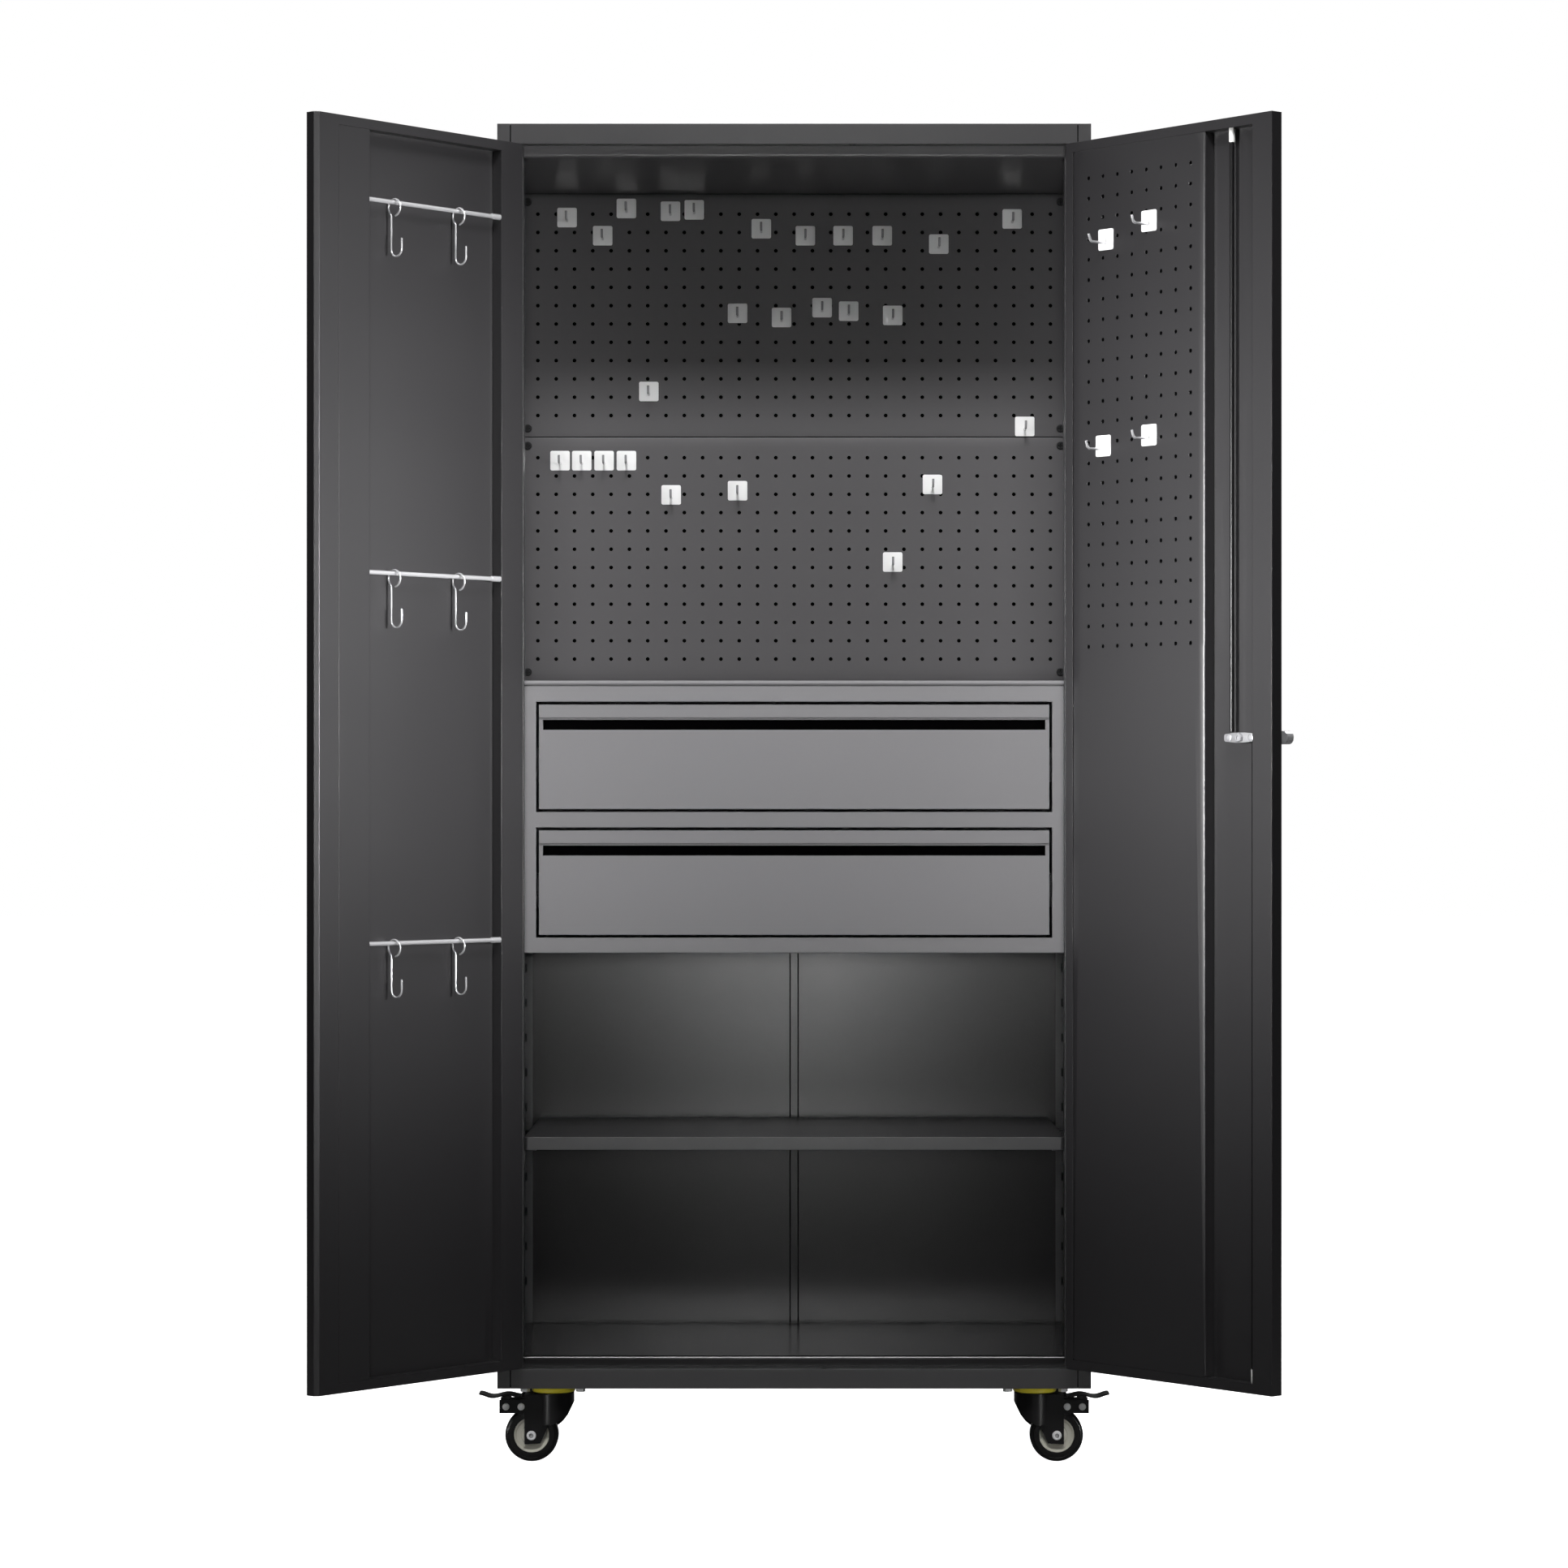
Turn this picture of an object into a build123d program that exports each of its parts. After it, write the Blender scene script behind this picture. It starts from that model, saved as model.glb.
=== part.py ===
from build123d import *
from math import cos, radians, sin
import os

os.makedirs("parts", exist_ok=True)

# A steel storage cabinet on four casters. Millimetres, +X to the right seen from the front,
# +Y to the back, +Z up, with the floor at Z = 0. Each piece is drawn with its depth counted
# from the carcass's front plane, and place_frame then moves it into the shared frame.

# Carcass
width = 800.0
height = 1808.0
depth = 430.0
gauge = 1.0  # sheet thickness of panels
base_gauge = 1.5  # the sheet that carries the casters
flange_width = 17.5  # front flange of a side panel
stop_depth = 20.0  # the door stops lie this far behind the front plane
post_width = 34.3  # front post, from the outside of the wall
post_depth = 55.0
hem_width = 8.0  # folded rear edge of a side panel
top_turn = 18.0  # depth of the top panel's turn at the back
rail_turn = 10.0  # the rails' inner turn, past the door stops
rear_flange_width = 24.0
rear_recess = 20.0  # from the rear edge to the rear flange's back
top_rail = 27.0
bottom_rail = 26.5
ceiling_drop = 43.0  # from the top of the cabinet to the underside of the ceiling
floor_rise = 42.0  # from the carcass's underside to the floor of the lowest bay
stop_lip_radius = 4.0
seam_width = 10.0
sheet_gap = 0.3  # between sheets that are fitted side by side
seat_gap = 0.05  # between a bracket and the wall that it is fixed to
rail_gap = 0.8  # dark groove between a rail and a side flange

# Casters
caster_height = 104.0
wheel_diameter = 72.0
wheel_width = 24.0
hub_diameter = 48.0
hub_width = 26.0
hub_boss = 20.0
hub_recess = 2.5  # of its web behind the tyre's faces
tyre_shoulder = 4.0
axle_diameter = 8.0
caster_trail = 29.5
swivel_x = 326.5
front_swivel_depth = 52.0
rear_swivel_depth = 372.0
plate_length = 92.0
plate_width = 64.0
plate_thickness = 2.5
plate_bolt_x = 75.0
plate_bolt_y = 45.0
plate_bolt_head = 13.0
plate_bolt_height = 5.0
race_diameter = 61.0
race_height = 8.0
fork_gauge = 2.5
fork_crown = 2.5
rivet_diameter = 5.0
rivet_head_diameter = 9.0
rivet_head_height = 2.0
arm_height = 18.0  # of the fork's arms that carry the brake pedal
arm_reach = 43.5  # from the axle to the arms' ends
fork_toe = 9.5  # from the axle to the cheeks' rear edge
fork_foot = 11.0  # from the axle down to the cheeks' lower edge
fork_heel = 12.0  # from the axle to the corner of the cheeks' leading edge
fork_skirt = 42.0  # of the crown's skirt down its leading side
skirt_end = 14.0  # of the skirt past the swivel axis
crown_diameter = 56.0
pedal_width = 34.0
pedal_gauge = 2.0
pedal_reach = 38.0  # from its rivet to the tip
pedal_wave = 3.0
pedal_clearance = 2.6  # above the fork's arms
pedal_ear = 12.0
pedal_level = 75.0
pedal_travel = 12.0  # degrees from free to braked

# Doors
door_thickness = 18.0
door_gap_centre = 1.5
door_gap_side = 2.5
door_base_gap = 29.5  # from the carcass's underside to a door
door_head_gap = 30.0  # from a door to the top of the cabinet
door_open = 130.4  # degrees from closed, as the cabinet stands
door_rail = 13.0  # rim above and below the recess of a door
hinge_standoff = 4.4  # hinge axis in front of the front plane
knuckle_radius = 4.0
hinge_pin_diameter = 3.6
hinge_clearance = 0.05
hinge_leaf = 1.0
hinge_leaf_depth = 16.0
hinge_height = 52.0
hinge_inset_z = 168.0  # from a door's end to the middle of its nearest hinge
hinge_split = 0.4

# Left door: recess with hanging rods
left_hinge_stile = 40.0
left_free_stile = 94.5
left_free_flange = 39.5
free_edge_bevel = 5.0
rod_drops = (102.5, 586.0, 1068.0)  # of the rods below the door's top
rod_diameter = 6.0
rod_sleeve_diameter = 8.0
rod_sleeve_length = 15.0
rod_inset = 4.0  # rod centre behind the door's inner face
hook_places = (117.0, 236.0)  # along the door from its hinge edge
hook_wire = 2.6
hook_ring = 19.5  # inside diameter of the loop over the rod
hook_drop = 70.0
hook_mouth = 16.5
hook_tip = 14.0  # past the mouth's bend

# Right door: perforated panel, lock channel
right_hinge_stile = 13.0
perforated_end = 260.0
lock_channel_end = 345.0
door_peg_columns = 8
door_peg_rows = 24
door_peg_pitch = 27.2
door_peg_first = 43.4
door_peg_drop = 51.0  # of the first row below the door's top
lock_rise = 843.5  # of the lock above the door's lower edge
lock_place = 320.5
cam_length = 56.0
cam_width = 13.0
cam_thickness = 2.5
cam_arm = 19.5
cam_pin_diameter = 5.0
spindle_diameter = 10.0
spindle_clearance = 0.08
lock_rod_diameter = 6.0
rod_tip_diameter = 8.0
rod_tip_length = 20.0
rod_tip_gap = 11.0  # from the door's edge back to the end of a rod
rod_hole_clearance = 0.5
rod_layer = 8.0  # rod centre behind the door's inner face
rose_diameter = 46.0
rose_thickness = 8.0
rose_chamfer = 2.5
handle_length = 96.0
handle_width = 17.0
handle_standoff = 34.0
lock_cylinder_diameter = 17.0
lock_cylinder_proud = 2.0
keyway = (2.0, 8.0)  # width and height
handle_hub_diameter = 30.0
handle_grip_depth = 12.0
cam_pin_reach = 7.0  # of a pin from the cam towards its rod
cam_nut_size = 12.0
cam_nut_height = 4.0
rod_start = 7.5  # from the lock's level to the near end of a rod

# Pegboards
board_return = 29.0  # depth of the turns down the sides, back to the rear flanges
board_height = 348.0
board_width = 794.0
board_columns = 29
board_rows = 12
board_pitch = 26.2
board_first_row = 29.0  # first row below the board's top edge
board_seam = 0.6
board_turn = 12.0  # depth of the turns along the top and bottom edges
peg_hole = 5.5
peg_step = 2  # every second hole each way is cut here
board_screw_head = 12.0
board_screw_height = 3.0
board_screw_x = 381.0
board_screw_inset = 12.0
peg_plate = 28.0
peg_plate_thickness = 1.2
peg_wire = 3.4
peg_reach = 30.0
peg_tip = 12.0

# Drawer unit
unit_half = 365.4
unit_depth = 30.0
unit_back = 378.0
unit_bottom = 690.0
unit_top = 1052.0
counter_rise = 7.0
counter_overhang = 3.0
frame_depth = 16.0
frame_stile = 16.0
frame_top_rail = 22.0
frame_mid_rail = 21.0
frame_bottom_rail = 20.5
drawer_clearance = 4.0
drawer_front_depth = 20.0
grip_strip = 17.5
grip_height = 13.5
grip_depth = 14.0
grip_cheek = 5.0
grip_lip = 3.0
grip_relief = 2.0
slide_room = 28.5  # on each side of a tray, for its slides
tray_wall_height = 104.0
tray_lift = 8.0
drawer_travel = 354.0
slide_height = 45.0
slide_gap = 0.4
slide_width = 12.3
slide_bracket = 20.0
slide_bracket_inset = 40.0
slide_setback = 2.0  # behind the drawer fronts
tray_rear_room = 6.0  # behind a closed drawer

# Shelf
shelf_top = 441.0
shelf_edge = 17.0
shelf_front = 24.0
shelf_back = 408.0
shelf_corner = 5.0
clip_thickness = 1.5
clip_size = 20.0
clip_tongue = 16.0
clip_slot = (4.0, 12.0)  # width and height
clip_slot_first = 60.0  # above the floor of the lowest bay
clip_slot_pitch = 50.0
clip_slot_rows = 10
clip_slot_place = 10.0  # from the rear flange's edge

# Sizes that follow from the ones above
half = width / 2
flange_x = half - flange_width
post_x = half - post_width
rear_flange_x = half - rear_flange_width
rear_flange_depth = depth - rear_recess
carcass_bottom = caster_height
door_bottom = carcass_bottom + door_base_gap
door_top = height - door_head_gap
hinge_levels = (door_bottom + hinge_inset_z, (door_bottom + door_top) / 2, door_top - hinge_inset_z)
rod_levels = tuple(door_top - drop for drop in rod_drops)
door_peg_top = door_top - door_peg_drop
lock_level = door_bottom + lock_rise
board_depth = rear_flange_depth - gauge - board_return
tray_half = unit_half - slide_room
ceiling = height - ceiling_drop
bay_floor = carcass_bottom + floor_rise
rail_half = flange_x - rail_gap
deck_half = half - gauge - sheet_gap
post_cut = half - gauge
door_outer = flange_x - door_gap_side
door_width = door_outer - door_gap_centre / 2
hinge_x = (door_outer + flange_x) / 2
hinge_inset = hinge_x - door_outer
swing = 180 - door_open
door_reach = (
    hinge_standoff
    + (door_width + hinge_inset) * sin(radians(swing))
    + (hinge_standoff + door_thickness) * cos(radians(swing))
)
front_y = (door_reach - depth) / 2  # puts the origin under the middle of the open cabinet
wheel_radius = wheel_diameter / 2
plate_bottom = caster_height - plate_thickness
race_bottom = plate_bottom - race_height
knuckle_length = (hinge_height - 2 * hinge_split) / 3
opening_half = unit_half - frame_stile
drawer_half = opening_half - drawer_clearance


def box(x, y, z):
    """A block between the given pairs of limits."""
    size = [abs(b - a) for a, b in (x, y, z)]
    middle = [(a + b) / 2 for a, b in (x, y, z)]
    return Pos(*middle) * Box(*size)


def rod_along(axis, diameter, start, end, centre):
    """A round bar along X, Y or Z from start to end, through the other two coordinates."""
    length = end - start
    middle = (start + end) / 2
    u, v = centre
    if axis == "X":
        return Pos(middle, u, v) * Rot(0, 90, 0) * Cylinder(diameter / 2, length)
    if axis == "Y":
        return Pos(u, middle, v) * Rot(90, 0, 0) * Cylinder(diameter / 2, length)
    return Pos(u, v, middle) * Cylinder(diameter / 2, length)


def folded(points, thickness):
    """The section of a folded sheet, its outside along the points and its metal to the left."""
    inner = []
    for i, (u, v) in enumerate(points):
        ahead = points[min(i + 1, len(points) - 1)]
        behind = points[max(i - 1, 0)]
        normals = []
        for start, end in ((behind, (u, v)), ((u, v), ahead)):
            du, dv = end[0] - start[0], end[1] - start[1]
            length = (du * du + dv * dv) ** 0.5
            if length > 0:
                normals.append((-dv / length, du / length))
        first, last = normals[0], normals[-1]
        spread = 1 + first[0] * last[0] + first[1] * last[1]
        inner.append(
            (
                u + thickness * (first[0] + last[0]) / spread,
                v + thickness * (first[1] + last[1]) / spread,
            )
        )
    outline = list(points) + inner[::-1]
    return make_face(Polyline(*outline, close=True))


def fold_up(points, thickness, low, high):
    """A folded sheet whose section is seen from above, from height low to high."""
    return extrude(Pos(0, 0, low) * folded(points, thickness), amount=high - low)


def fold_across(points, thickness, reach):
    """A folded sheet whose section is seen from the side, reaching as far left as right."""
    section = Plane.YZ.offset(-reach) * folded(points, thickness)
    return extrude(section, amount=2 * reach)


def mirrored(shape):
    return mirror(shape, about=Plane.YZ)


def group(shapes):
    """Separate solids that share a node."""
    return Compound(children=[solid for shape in shapes for solid in shape.solids()])


def place_frame(shape):
    return Pos(0, front_y, 0) * shape


def export(node, shape):
    export_step(place_frame(shape), f"parts/{node}.step")


def opened(side, shape):
    """Swings a piece of a closed door to where the door stands; side is -1 left, 1 right."""
    axis = Axis((side * hinge_x, -hinge_standoff, 0), (0, 0, 1))
    return shape.rotate(axis, side * door_open)


def along(side, place):
    """The X of a point of a closed door, counted from its hinge edge."""
    return side * (door_outer - place)


# Carcass: side panels


def side_panel():
    """The right side, folded from one sheet: front flange, post, wall, hem and rear flange."""
    plan = (
        (half - gauge - 1, post_depth),
        (post_x, post_depth),
        (post_x, stop_depth),
        (flange_x, stop_depth),
        (flange_x, 0),
        (half, 0),
        (half, depth),
        (half - hem_width, depth),
        (half - hem_width, rear_flange_depth),
        (rear_flange_x, rear_flange_depth),
    )
    panel = fold_up(plan, gauge, carcass_bottom, height)
    inside = (0, post_cut)
    behind_front = (gauge, depth + 1)
    panel -= box(inside, behind_front, (height - gauge - sheet_gap, height + 1))
    panel -= box(inside, behind_front, (carcass_bottom - 1, carcass_bottom + base_gauge + sheet_gap))
    slot_width, slot_height = clip_slot
    slot_x = rear_flange_x + clip_slot_place
    for row in range(int(clip_slot_rows)):
        middle = bay_floor + clip_slot_first + row * clip_slot_pitch
        panel -= box((slot_x - slot_width / 2, slot_x + slot_width / 2),
                     (rear_flange_depth - 2 * gauge, rear_flange_depth + gauge),
                     (middle - slot_height / 2, middle + slot_height / 2))
    return panel


# Carcass: top, ceiling, floor and base


def top_panel():
    rail = (
        (stop_depth + rail_turn, height),
        (0, height),
        (0, height - top_rail),
        (stop_depth - sheet_gap, height - top_rail),
    )
    panel = fold_across(rail, gauge, rail_half)
    panel += box((-deck_half, deck_half), (gauge + sheet_gap, depth - gauge - sheet_gap),
                 (height - gauge, height))
    back = depth - gauge - sheet_gap
    flange_half = half - hem_width - sheet_gap
    panel += box((-flange_half, flange_half), (back - gauge, back), (height - top_turn, height))
    return panel - lock_hole(along(1, lock_place + cam_arm * upper_rod_side), height - top_rail)


def lock_hole(x, level):
    """The hole that a door rod shoots into, through a sheet near the given height."""
    hole = rod_tip_diameter + 2 * rod_hole_clearance
    return rod_along("Z", hole, level - 3, level + 3, (x, door_thickness - rod_layer))


def inner_deck(level, stop_end):
    """A deck between the posts, with its front edge turned into the door stop."""
    stop = (
        (rear_flange_depth - gauge - sheet_gap, level),
        (stop_depth, level),
        (stop_depth, stop_end),
    )
    thickness = gauge if stop_end < level else -gauge
    section = folded(stop, thickness)
    bend = [v for v in section.vertices()
            if abs(v.Y - level) < 1.5 * gauge and v.X < stop_depth + 1.5 * gauge]
    outside = min(bend, key=lambda v: v.X)
    inside = max(bend, key=lambda v: v.X)
    section = fillet(outside, stop_lip_radius)
    inside = min(section.vertices(), key=lambda v: abs(v.X - inside.X) + abs(v.Y - inside.Y))
    section = fillet(inside, stop_lip_radius - gauge)
    deck = extrude(Plane.YZ.offset(-post_x) * section, amount=2 * post_x)
    low, high = sorted((level, level - thickness))
    wing = box((post_x, deck_half), (post_depth + sheet_gap, rear_flange_depth - gauge - sheet_gap),
               (low, high))
    return deck + wing + mirrored(wing)


def base_tray():
    rail = (
        (stop_depth - sheet_gap, carcass_bottom + bottom_rail),
        (0, carcass_bottom + bottom_rail),
        (0, carcass_bottom),
        (stop_depth + rail_turn, carcass_bottom),
    )
    tray = fold_across(rail, gauge, rail_half)
    back = depth - gauge - sheet_gap
    tray += box((-deck_half, deck_half), (gauge + sheet_gap, back),
                (carcass_bottom, carcass_bottom + base_gauge))
    flange_half = half - hem_width - sheet_gap
    tray += box((-flange_half, flange_half), (back - gauge, back),
                (carcass_bottom, carcass_bottom + bottom_rail))
    lower = along(1, lock_place - cam_arm * upper_rod_side)
    return tray - lock_hole(lower, carcass_bottom + bottom_rail)


def back_panel():
    """The right half of the back, screwed behind the rear flanges."""
    reach = half - gauge - sheet_gap - hem_width
    near = rear_flange_depth + sheet_gap
    levels = (carcass_bottom + base_gauge, height - gauge)
    panel = box((sheet_gap / 2, reach), (near, near + gauge), levels)
    return panel


def back_seam():
    """The strip that covers the joint between the halves of the back."""
    far = rear_flange_depth + sheet_gap
    return box((-seam_width / 2, seam_width / 2), (far - base_gauge, far),
               (bay_floor, ceiling - gauge - sheet_gap))


# Pegboards


def hole_grid(columns, rows, pitch, first_x, first_z, depths, step):
    """The square punches of a perforated sheet, each way every step-th hole of its grid."""
    low, high = depths
    spots = [
        (first_x + column * pitch, first_z - row * pitch)
        for column in range(0, int(columns), int(step))
        for row in range(0, int(rows), int(step))
    ]
    punches = [Pos(x, (low + high) / 2, z) * Rot(0, 45, 0) * Box(peg_hole * 0.9, high - low, peg_hole * 0.9)
               for x, z in spots]
    return Compound(children=punches)


def pegboard(top):
    """A perforated tray whose side returns land on the rear flanges."""
    reach = board_width / 2
    far = rear_flange_depth - gauge
    tray = box((-reach, reach), (board_depth, far), (top - board_height, top))
    tray -= box((-reach + gauge, reach - gauge), (board_depth + gauge, far + 1),
                (top - board_height + gauge, top - gauge))
    tray -= box((-reach + gauge, reach - gauge), (board_depth + board_turn, far + 1), (top - board_height, top))
    first_x = -(board_columns - 1) * board_pitch / 2
    return tray - hole_grid(board_columns, board_rows, board_pitch, first_x,
                            top - board_first_row, (board_depth - 1, board_depth + gauge + 1), peg_step)


def board_screws():
    """Pan-head screws with their spacers, down both sides of the boards."""
    screws = []
    for top in board_tops:
        for level in (top - board_screw_inset, top - board_height + board_screw_inset):
            for side in (-1, 1):
                x = side * board_screw_x
                head = rod_along("Y", board_screw_head, board_depth - board_screw_height, board_depth, (x, level))
                screws.append(head)
    return group(screws)


def peg_hook(x, near, level):
    """A hook for one tool: a plate flat on the board and a wire turned up at its end."""
    plate = box((x - peg_plate / 2, x + peg_plate / 2), (near - peg_plate_thickness, near),
                (level - peg_plate / 2, level + peg_plate / 2))
    root = level - peg_plate / 6
    end = near - peg_plate_thickness - peg_reach
    path = Polyline((x, near - peg_plate_thickness / 2, root), (x, end, root),
                    (x, end - peg_tip / 3, root + peg_tip))
    section = Plane(path @ 0, z_dir=path % 0) * RegularPolygon(peg_wire / 2, 6)
    wire = sweep(section, path=path, transition=Transition.RIGHT)
    return plate + wire


# Where the hooks sit on the boards, from the middle of the cabinet and down from the boards' top
board_hooks = (
    (-325, 34), (-274, 60), (-240, 21), (-177, 25), (-143, 23), (-47, 50), (16, 60), (70, 60),
    (126, 60), (207, 72), (312, 36), (-81, 171), (-18, 177), (40, 163), (78, 168), (141, 174),
    (-208, 283), (330, 333), (-335, 382), (-304, 382), (-272, 382), (-240, 382), (-176, 431),
    (-81, 425), (141, 527), (198, 416),
)
# The same on the right door, from its hinge edge and down from its top
door_hooks = ((77, 136), (158, 119), (72, 410), (158, 401))


# Drawer unit


def drawer_case():
    """Sides, floor and back of the unit, open at the front and closed above by the counter."""
    near = unit_depth + frame_depth
    case = box((-unit_half, unit_half), (near, unit_back), (unit_bottom, unit_top))
    case -= box((-unit_half + gauge, unit_half - gauge), (near - 1, unit_back - gauge),
                (unit_bottom + gauge, unit_top + 1))
    return case


def drawer_openings(margin):
    """The two openings of the face frame, grown by margin on every side."""
    reach = opening_half + margin
    span = (unit_depth - 1, unit_depth + frame_depth + 1)
    upper, lower = drawer_levels
    return [
        box((-reach, reach), span, (low - drawer_clearance - margin, high + drawer_clearance + margin))
        for low, high in (upper, lower)
    ]


def face_frame():
    """Stiles and rails in one pressing, hollow from behind."""
    back = unit_depth + frame_depth
    frame = box((-unit_half, unit_half), (unit_depth, back), (unit_bottom, unit_top))
    hollow = box((-unit_half + gauge, unit_half - gauge), (unit_depth + gauge, back + 1),
                 (unit_bottom + gauge, unit_top - gauge))
    for grown in drawer_openings(gauge):
        hollow -= grown
    frame -= hollow
    for opening in drawer_openings(0):
        frame -= opening
    return frame


def counter():
    """The worktop over the drawers, with a rolled front edge."""
    top = unit_top + counter_rise
    front = unit_depth - counter_overhang
    plate = box((-unit_half, unit_half), (front, unit_back), (unit_top, top))
    edges = [e for e in plate.edges().filter_by(Axis.X) if e.center().Y < front + 0.1]
    plate = fillet(edges, counter_rise / 2 - sheet_gap)
    near = front + counter_rise / 2
    return plate - box((-unit_half + gauge, unit_half - gauge), (near, unit_back - gauge), (unit_top - 1, top - gauge))


def slide_section(outer, inner, half_height, opens_out):
    """A slide member: a C standing between two distances from the middle of the cabinet."""
    web = (outer - gauge, outer) if not opens_out else (inner, inner + gauge)
    pieces = [((inner, outer), (half_height - gauge, half_height)),
              ((inner, outer), (-half_height, -half_height + gauge)),
              (web, (-half_height, half_height))]
    return pieces


def slide_member(outer, inner, half_height, opens_out, level, reach):
    """One pair of slide members, left and right, at the given level."""
    sides = []
    for side in (-1, 1):
        member = None
        for xs, zs in slide_section(outer, inner, half_height, opens_out):
            block = box((side * xs[0], side * xs[1]), reach, (level + zs[0], level + zs[1]))
            member = block if member is None else member + block
        sides.append(member)
    return sides


def slide_channels():
    """The fixed members, each on two brackets that fill the room behind the stile."""
    pieces = []
    outer = tray_half + slide_width
    near = unit_depth + drawer_front_depth + slide_setback
    for low, high in drawer_levels:
        level = slide_level(low)
        pair = slide_member(outer, tray_half + gauge + slide_gap, slide_height / 2, False,
                            level, (near, near + slide_length - slide_setback))
        for side, member in zip((-1, 1), pair):
            far = near + slide_length - slide_bracket_inset - slide_bracket
            for spot in (near + slide_bracket_inset, far):
                member += box((side * outer, side * (unit_half - gauge - seat_gap)), (spot, spot + slide_bracket),
                              (level - slide_bracket / 2, level + slide_bracket / 2))
            pieces.append(member)
    return group(pieces)


def slide_level(low):
    """The middle height of the slides of a drawer whose front starts at low."""
    return low + tray_lift + tray_wall_height / 2


def slide_runners(low):
    """The middle members, which travel half as far as the drawer."""
    outer = tray_half + slide_width - gauge - slide_gap
    half_height = slide_height / 2 - gauge - slide_gap
    near = unit_depth + drawer_front_depth + slide_setback
    return group(slide_member(outer, tray_half + gauge + slide_gap, half_height, False,
                              slide_level(low), (near, near + slide_length - slide_setback)))


def drawer_tray(low):
    """The drawer's box, with the inner slide members along its sides."""
    near = unit_depth + drawer_front_depth
    far = near + slide_length
    bottom = low + tray_lift
    top = bottom + tray_wall_height
    tray = box((-tray_half, tray_half), (near, far), (bottom, top))
    tray -= box((-tray_half + gauge, tray_half - gauge), (near + gauge, far - gauge), (bottom + gauge, top + 1))
    half_height = slide_height / 2 - 2 * (gauge + slide_gap)
    outer = tray_half + slide_width - 2 * (gauge + slide_gap)
    for member in slide_member(outer, tray_half, half_height, True, slide_level(low), (near, far - 2)):
        tray += member
    return tray


def drawer_front(low, high):
    """The drawer's face, with a finger pull pressed across its full width."""
    back = unit_depth + drawer_front_depth
    front = box((-drawer_half, drawer_half), (unit_depth, back), (low, high))
    pull_top = high - grip_strip - grip_lip
    pull = box((-drawer_half + grip_cheek, drawer_half - grip_cheek), (unit_depth - 1, unit_depth + grip_depth),
               (pull_top - grip_height, pull_top))
    relief = box((-drawer_half, drawer_half), (unit_depth - 1, unit_depth + grip_relief),
                 (pull_top, pull_top + grip_lip))
    hollow = box((-drawer_half + gauge, drawer_half - gauge), (unit_depth + gauge, back + 1),
                 (low + gauge, high - gauge))
    hollow -= box((-drawer_half, drawer_half), (unit_depth, unit_depth + grip_depth + gauge),
                  (pull_top - grip_height - gauge, pull_top + grip_lip + gauge))
    return front - hollow - pull - relief


# Shelf


def shelf():
    half_width = unit_half - 0.1
    plate = box((-half_width, half_width), (shelf_front, shelf_back), (shelf_top - shelf_edge, shelf_top))
    corners = [e for e in plate.edges().filter_by(Axis.Z) if e.center().Y < shelf_front + 1]
    plate = fillet(corners, shelf_corner)
    plate -= box((-half_width + gauge, half_width - gauge), (shelf_front + shelf_corner, shelf_back - gauge),
                 (shelf_top - shelf_edge - 1, shelf_top - gauge))
    return plate


def shelf_clips():
    """Clips under the shelf's corners: two on the front posts, two on the rear flanges."""
    under = shelf_top - shelf_edge
    clips = []
    tongue = (under - clip_thickness, under)
    near = shelf_front + shelf_corner
    depths = (near, near + clip_size)
    face = rear_flange_depth - gauge
    for side in (-1, 1):
        post = box((side * post_x, side * (post_x - clip_thickness)), depths, (under - clip_size, under))
        post += box((side * post_x, side * (post_x - clip_tongue)), depths, tongue)
        clips.append(post)
        outer = side * (rear_flange_x + clip_tongue)
        rear = box((side * (rear_flange_x + clip_thickness), outer), (face - clip_thickness, face),
                   (under - clip_size, under))
        rear += box((side * (post_x - clip_tongue), outer), (face - clip_tongue, face), tongue)
        clips.append(rear)
    return group(clips)


# Doors


def door_shell(side, hinge_stile, free_flange, bevel):
    """A door's outer sheet: face, edges, and the flanges round its inner side."""
    xs = (along(side, 0), along(side, door_width))
    shell = box(xs, (0, door_thickness), (door_bottom, door_top))
    inside = (along(side, gauge), along(side, door_width - gauge))
    hollow = box(inside, (gauge, door_thickness - gauge), (door_bottom + gauge, door_top - gauge))
    if bevel:
        shell = bevelled(shell, side, bevel)
        hollow = bevelled(hollow, side, bevel - gauge * (2 - 2**0.5))
    window = (along(side, hinge_stile), along(side, door_width - free_flange))
    levels = (door_bottom + door_rail, door_top - door_rail)
    shell -= hollow
    shell -= box(window, (gauge, door_thickness + 1), levels)
    # The rim is turned in round the recess, and stops short of the face
    turned = (2 * gauge, door_thickness)
    start, end = window
    shell += box((start, start + side * gauge), turned, (levels[0] - gauge, levels[1] + gauge))
    for level in levels:
        inward = gauge if level == levels[1] else -gauge
        shell += box((start, end), turned, tuple(sorted((level, level + inward))))
    return shell


def bevelled(block, side, leg):
    """Bevels a door block's inner edge along its free side."""
    inner = [e for e in block.edges().filter_by(Axis.Z)
             if side * e.center().X < side * block.center().X and e.center().Y > block.center().Y]
    return chamfer(inner, leg)


def free_stile():
    """The channel inside the left door's free edge."""
    start = along(-1, door_width - left_free_stile)
    end = along(-1, door_width - left_free_flange) - sheet_gap
    levels = (door_bottom + door_rail + sheet_gap, door_top - door_rail - sheet_gap)
    plan = (
        (end, door_thickness),
        (start, door_thickness),
        (start, gauge),
        (start + 12, gauge),
    )
    return fold_up(plan, gauge, *levels)


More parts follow.
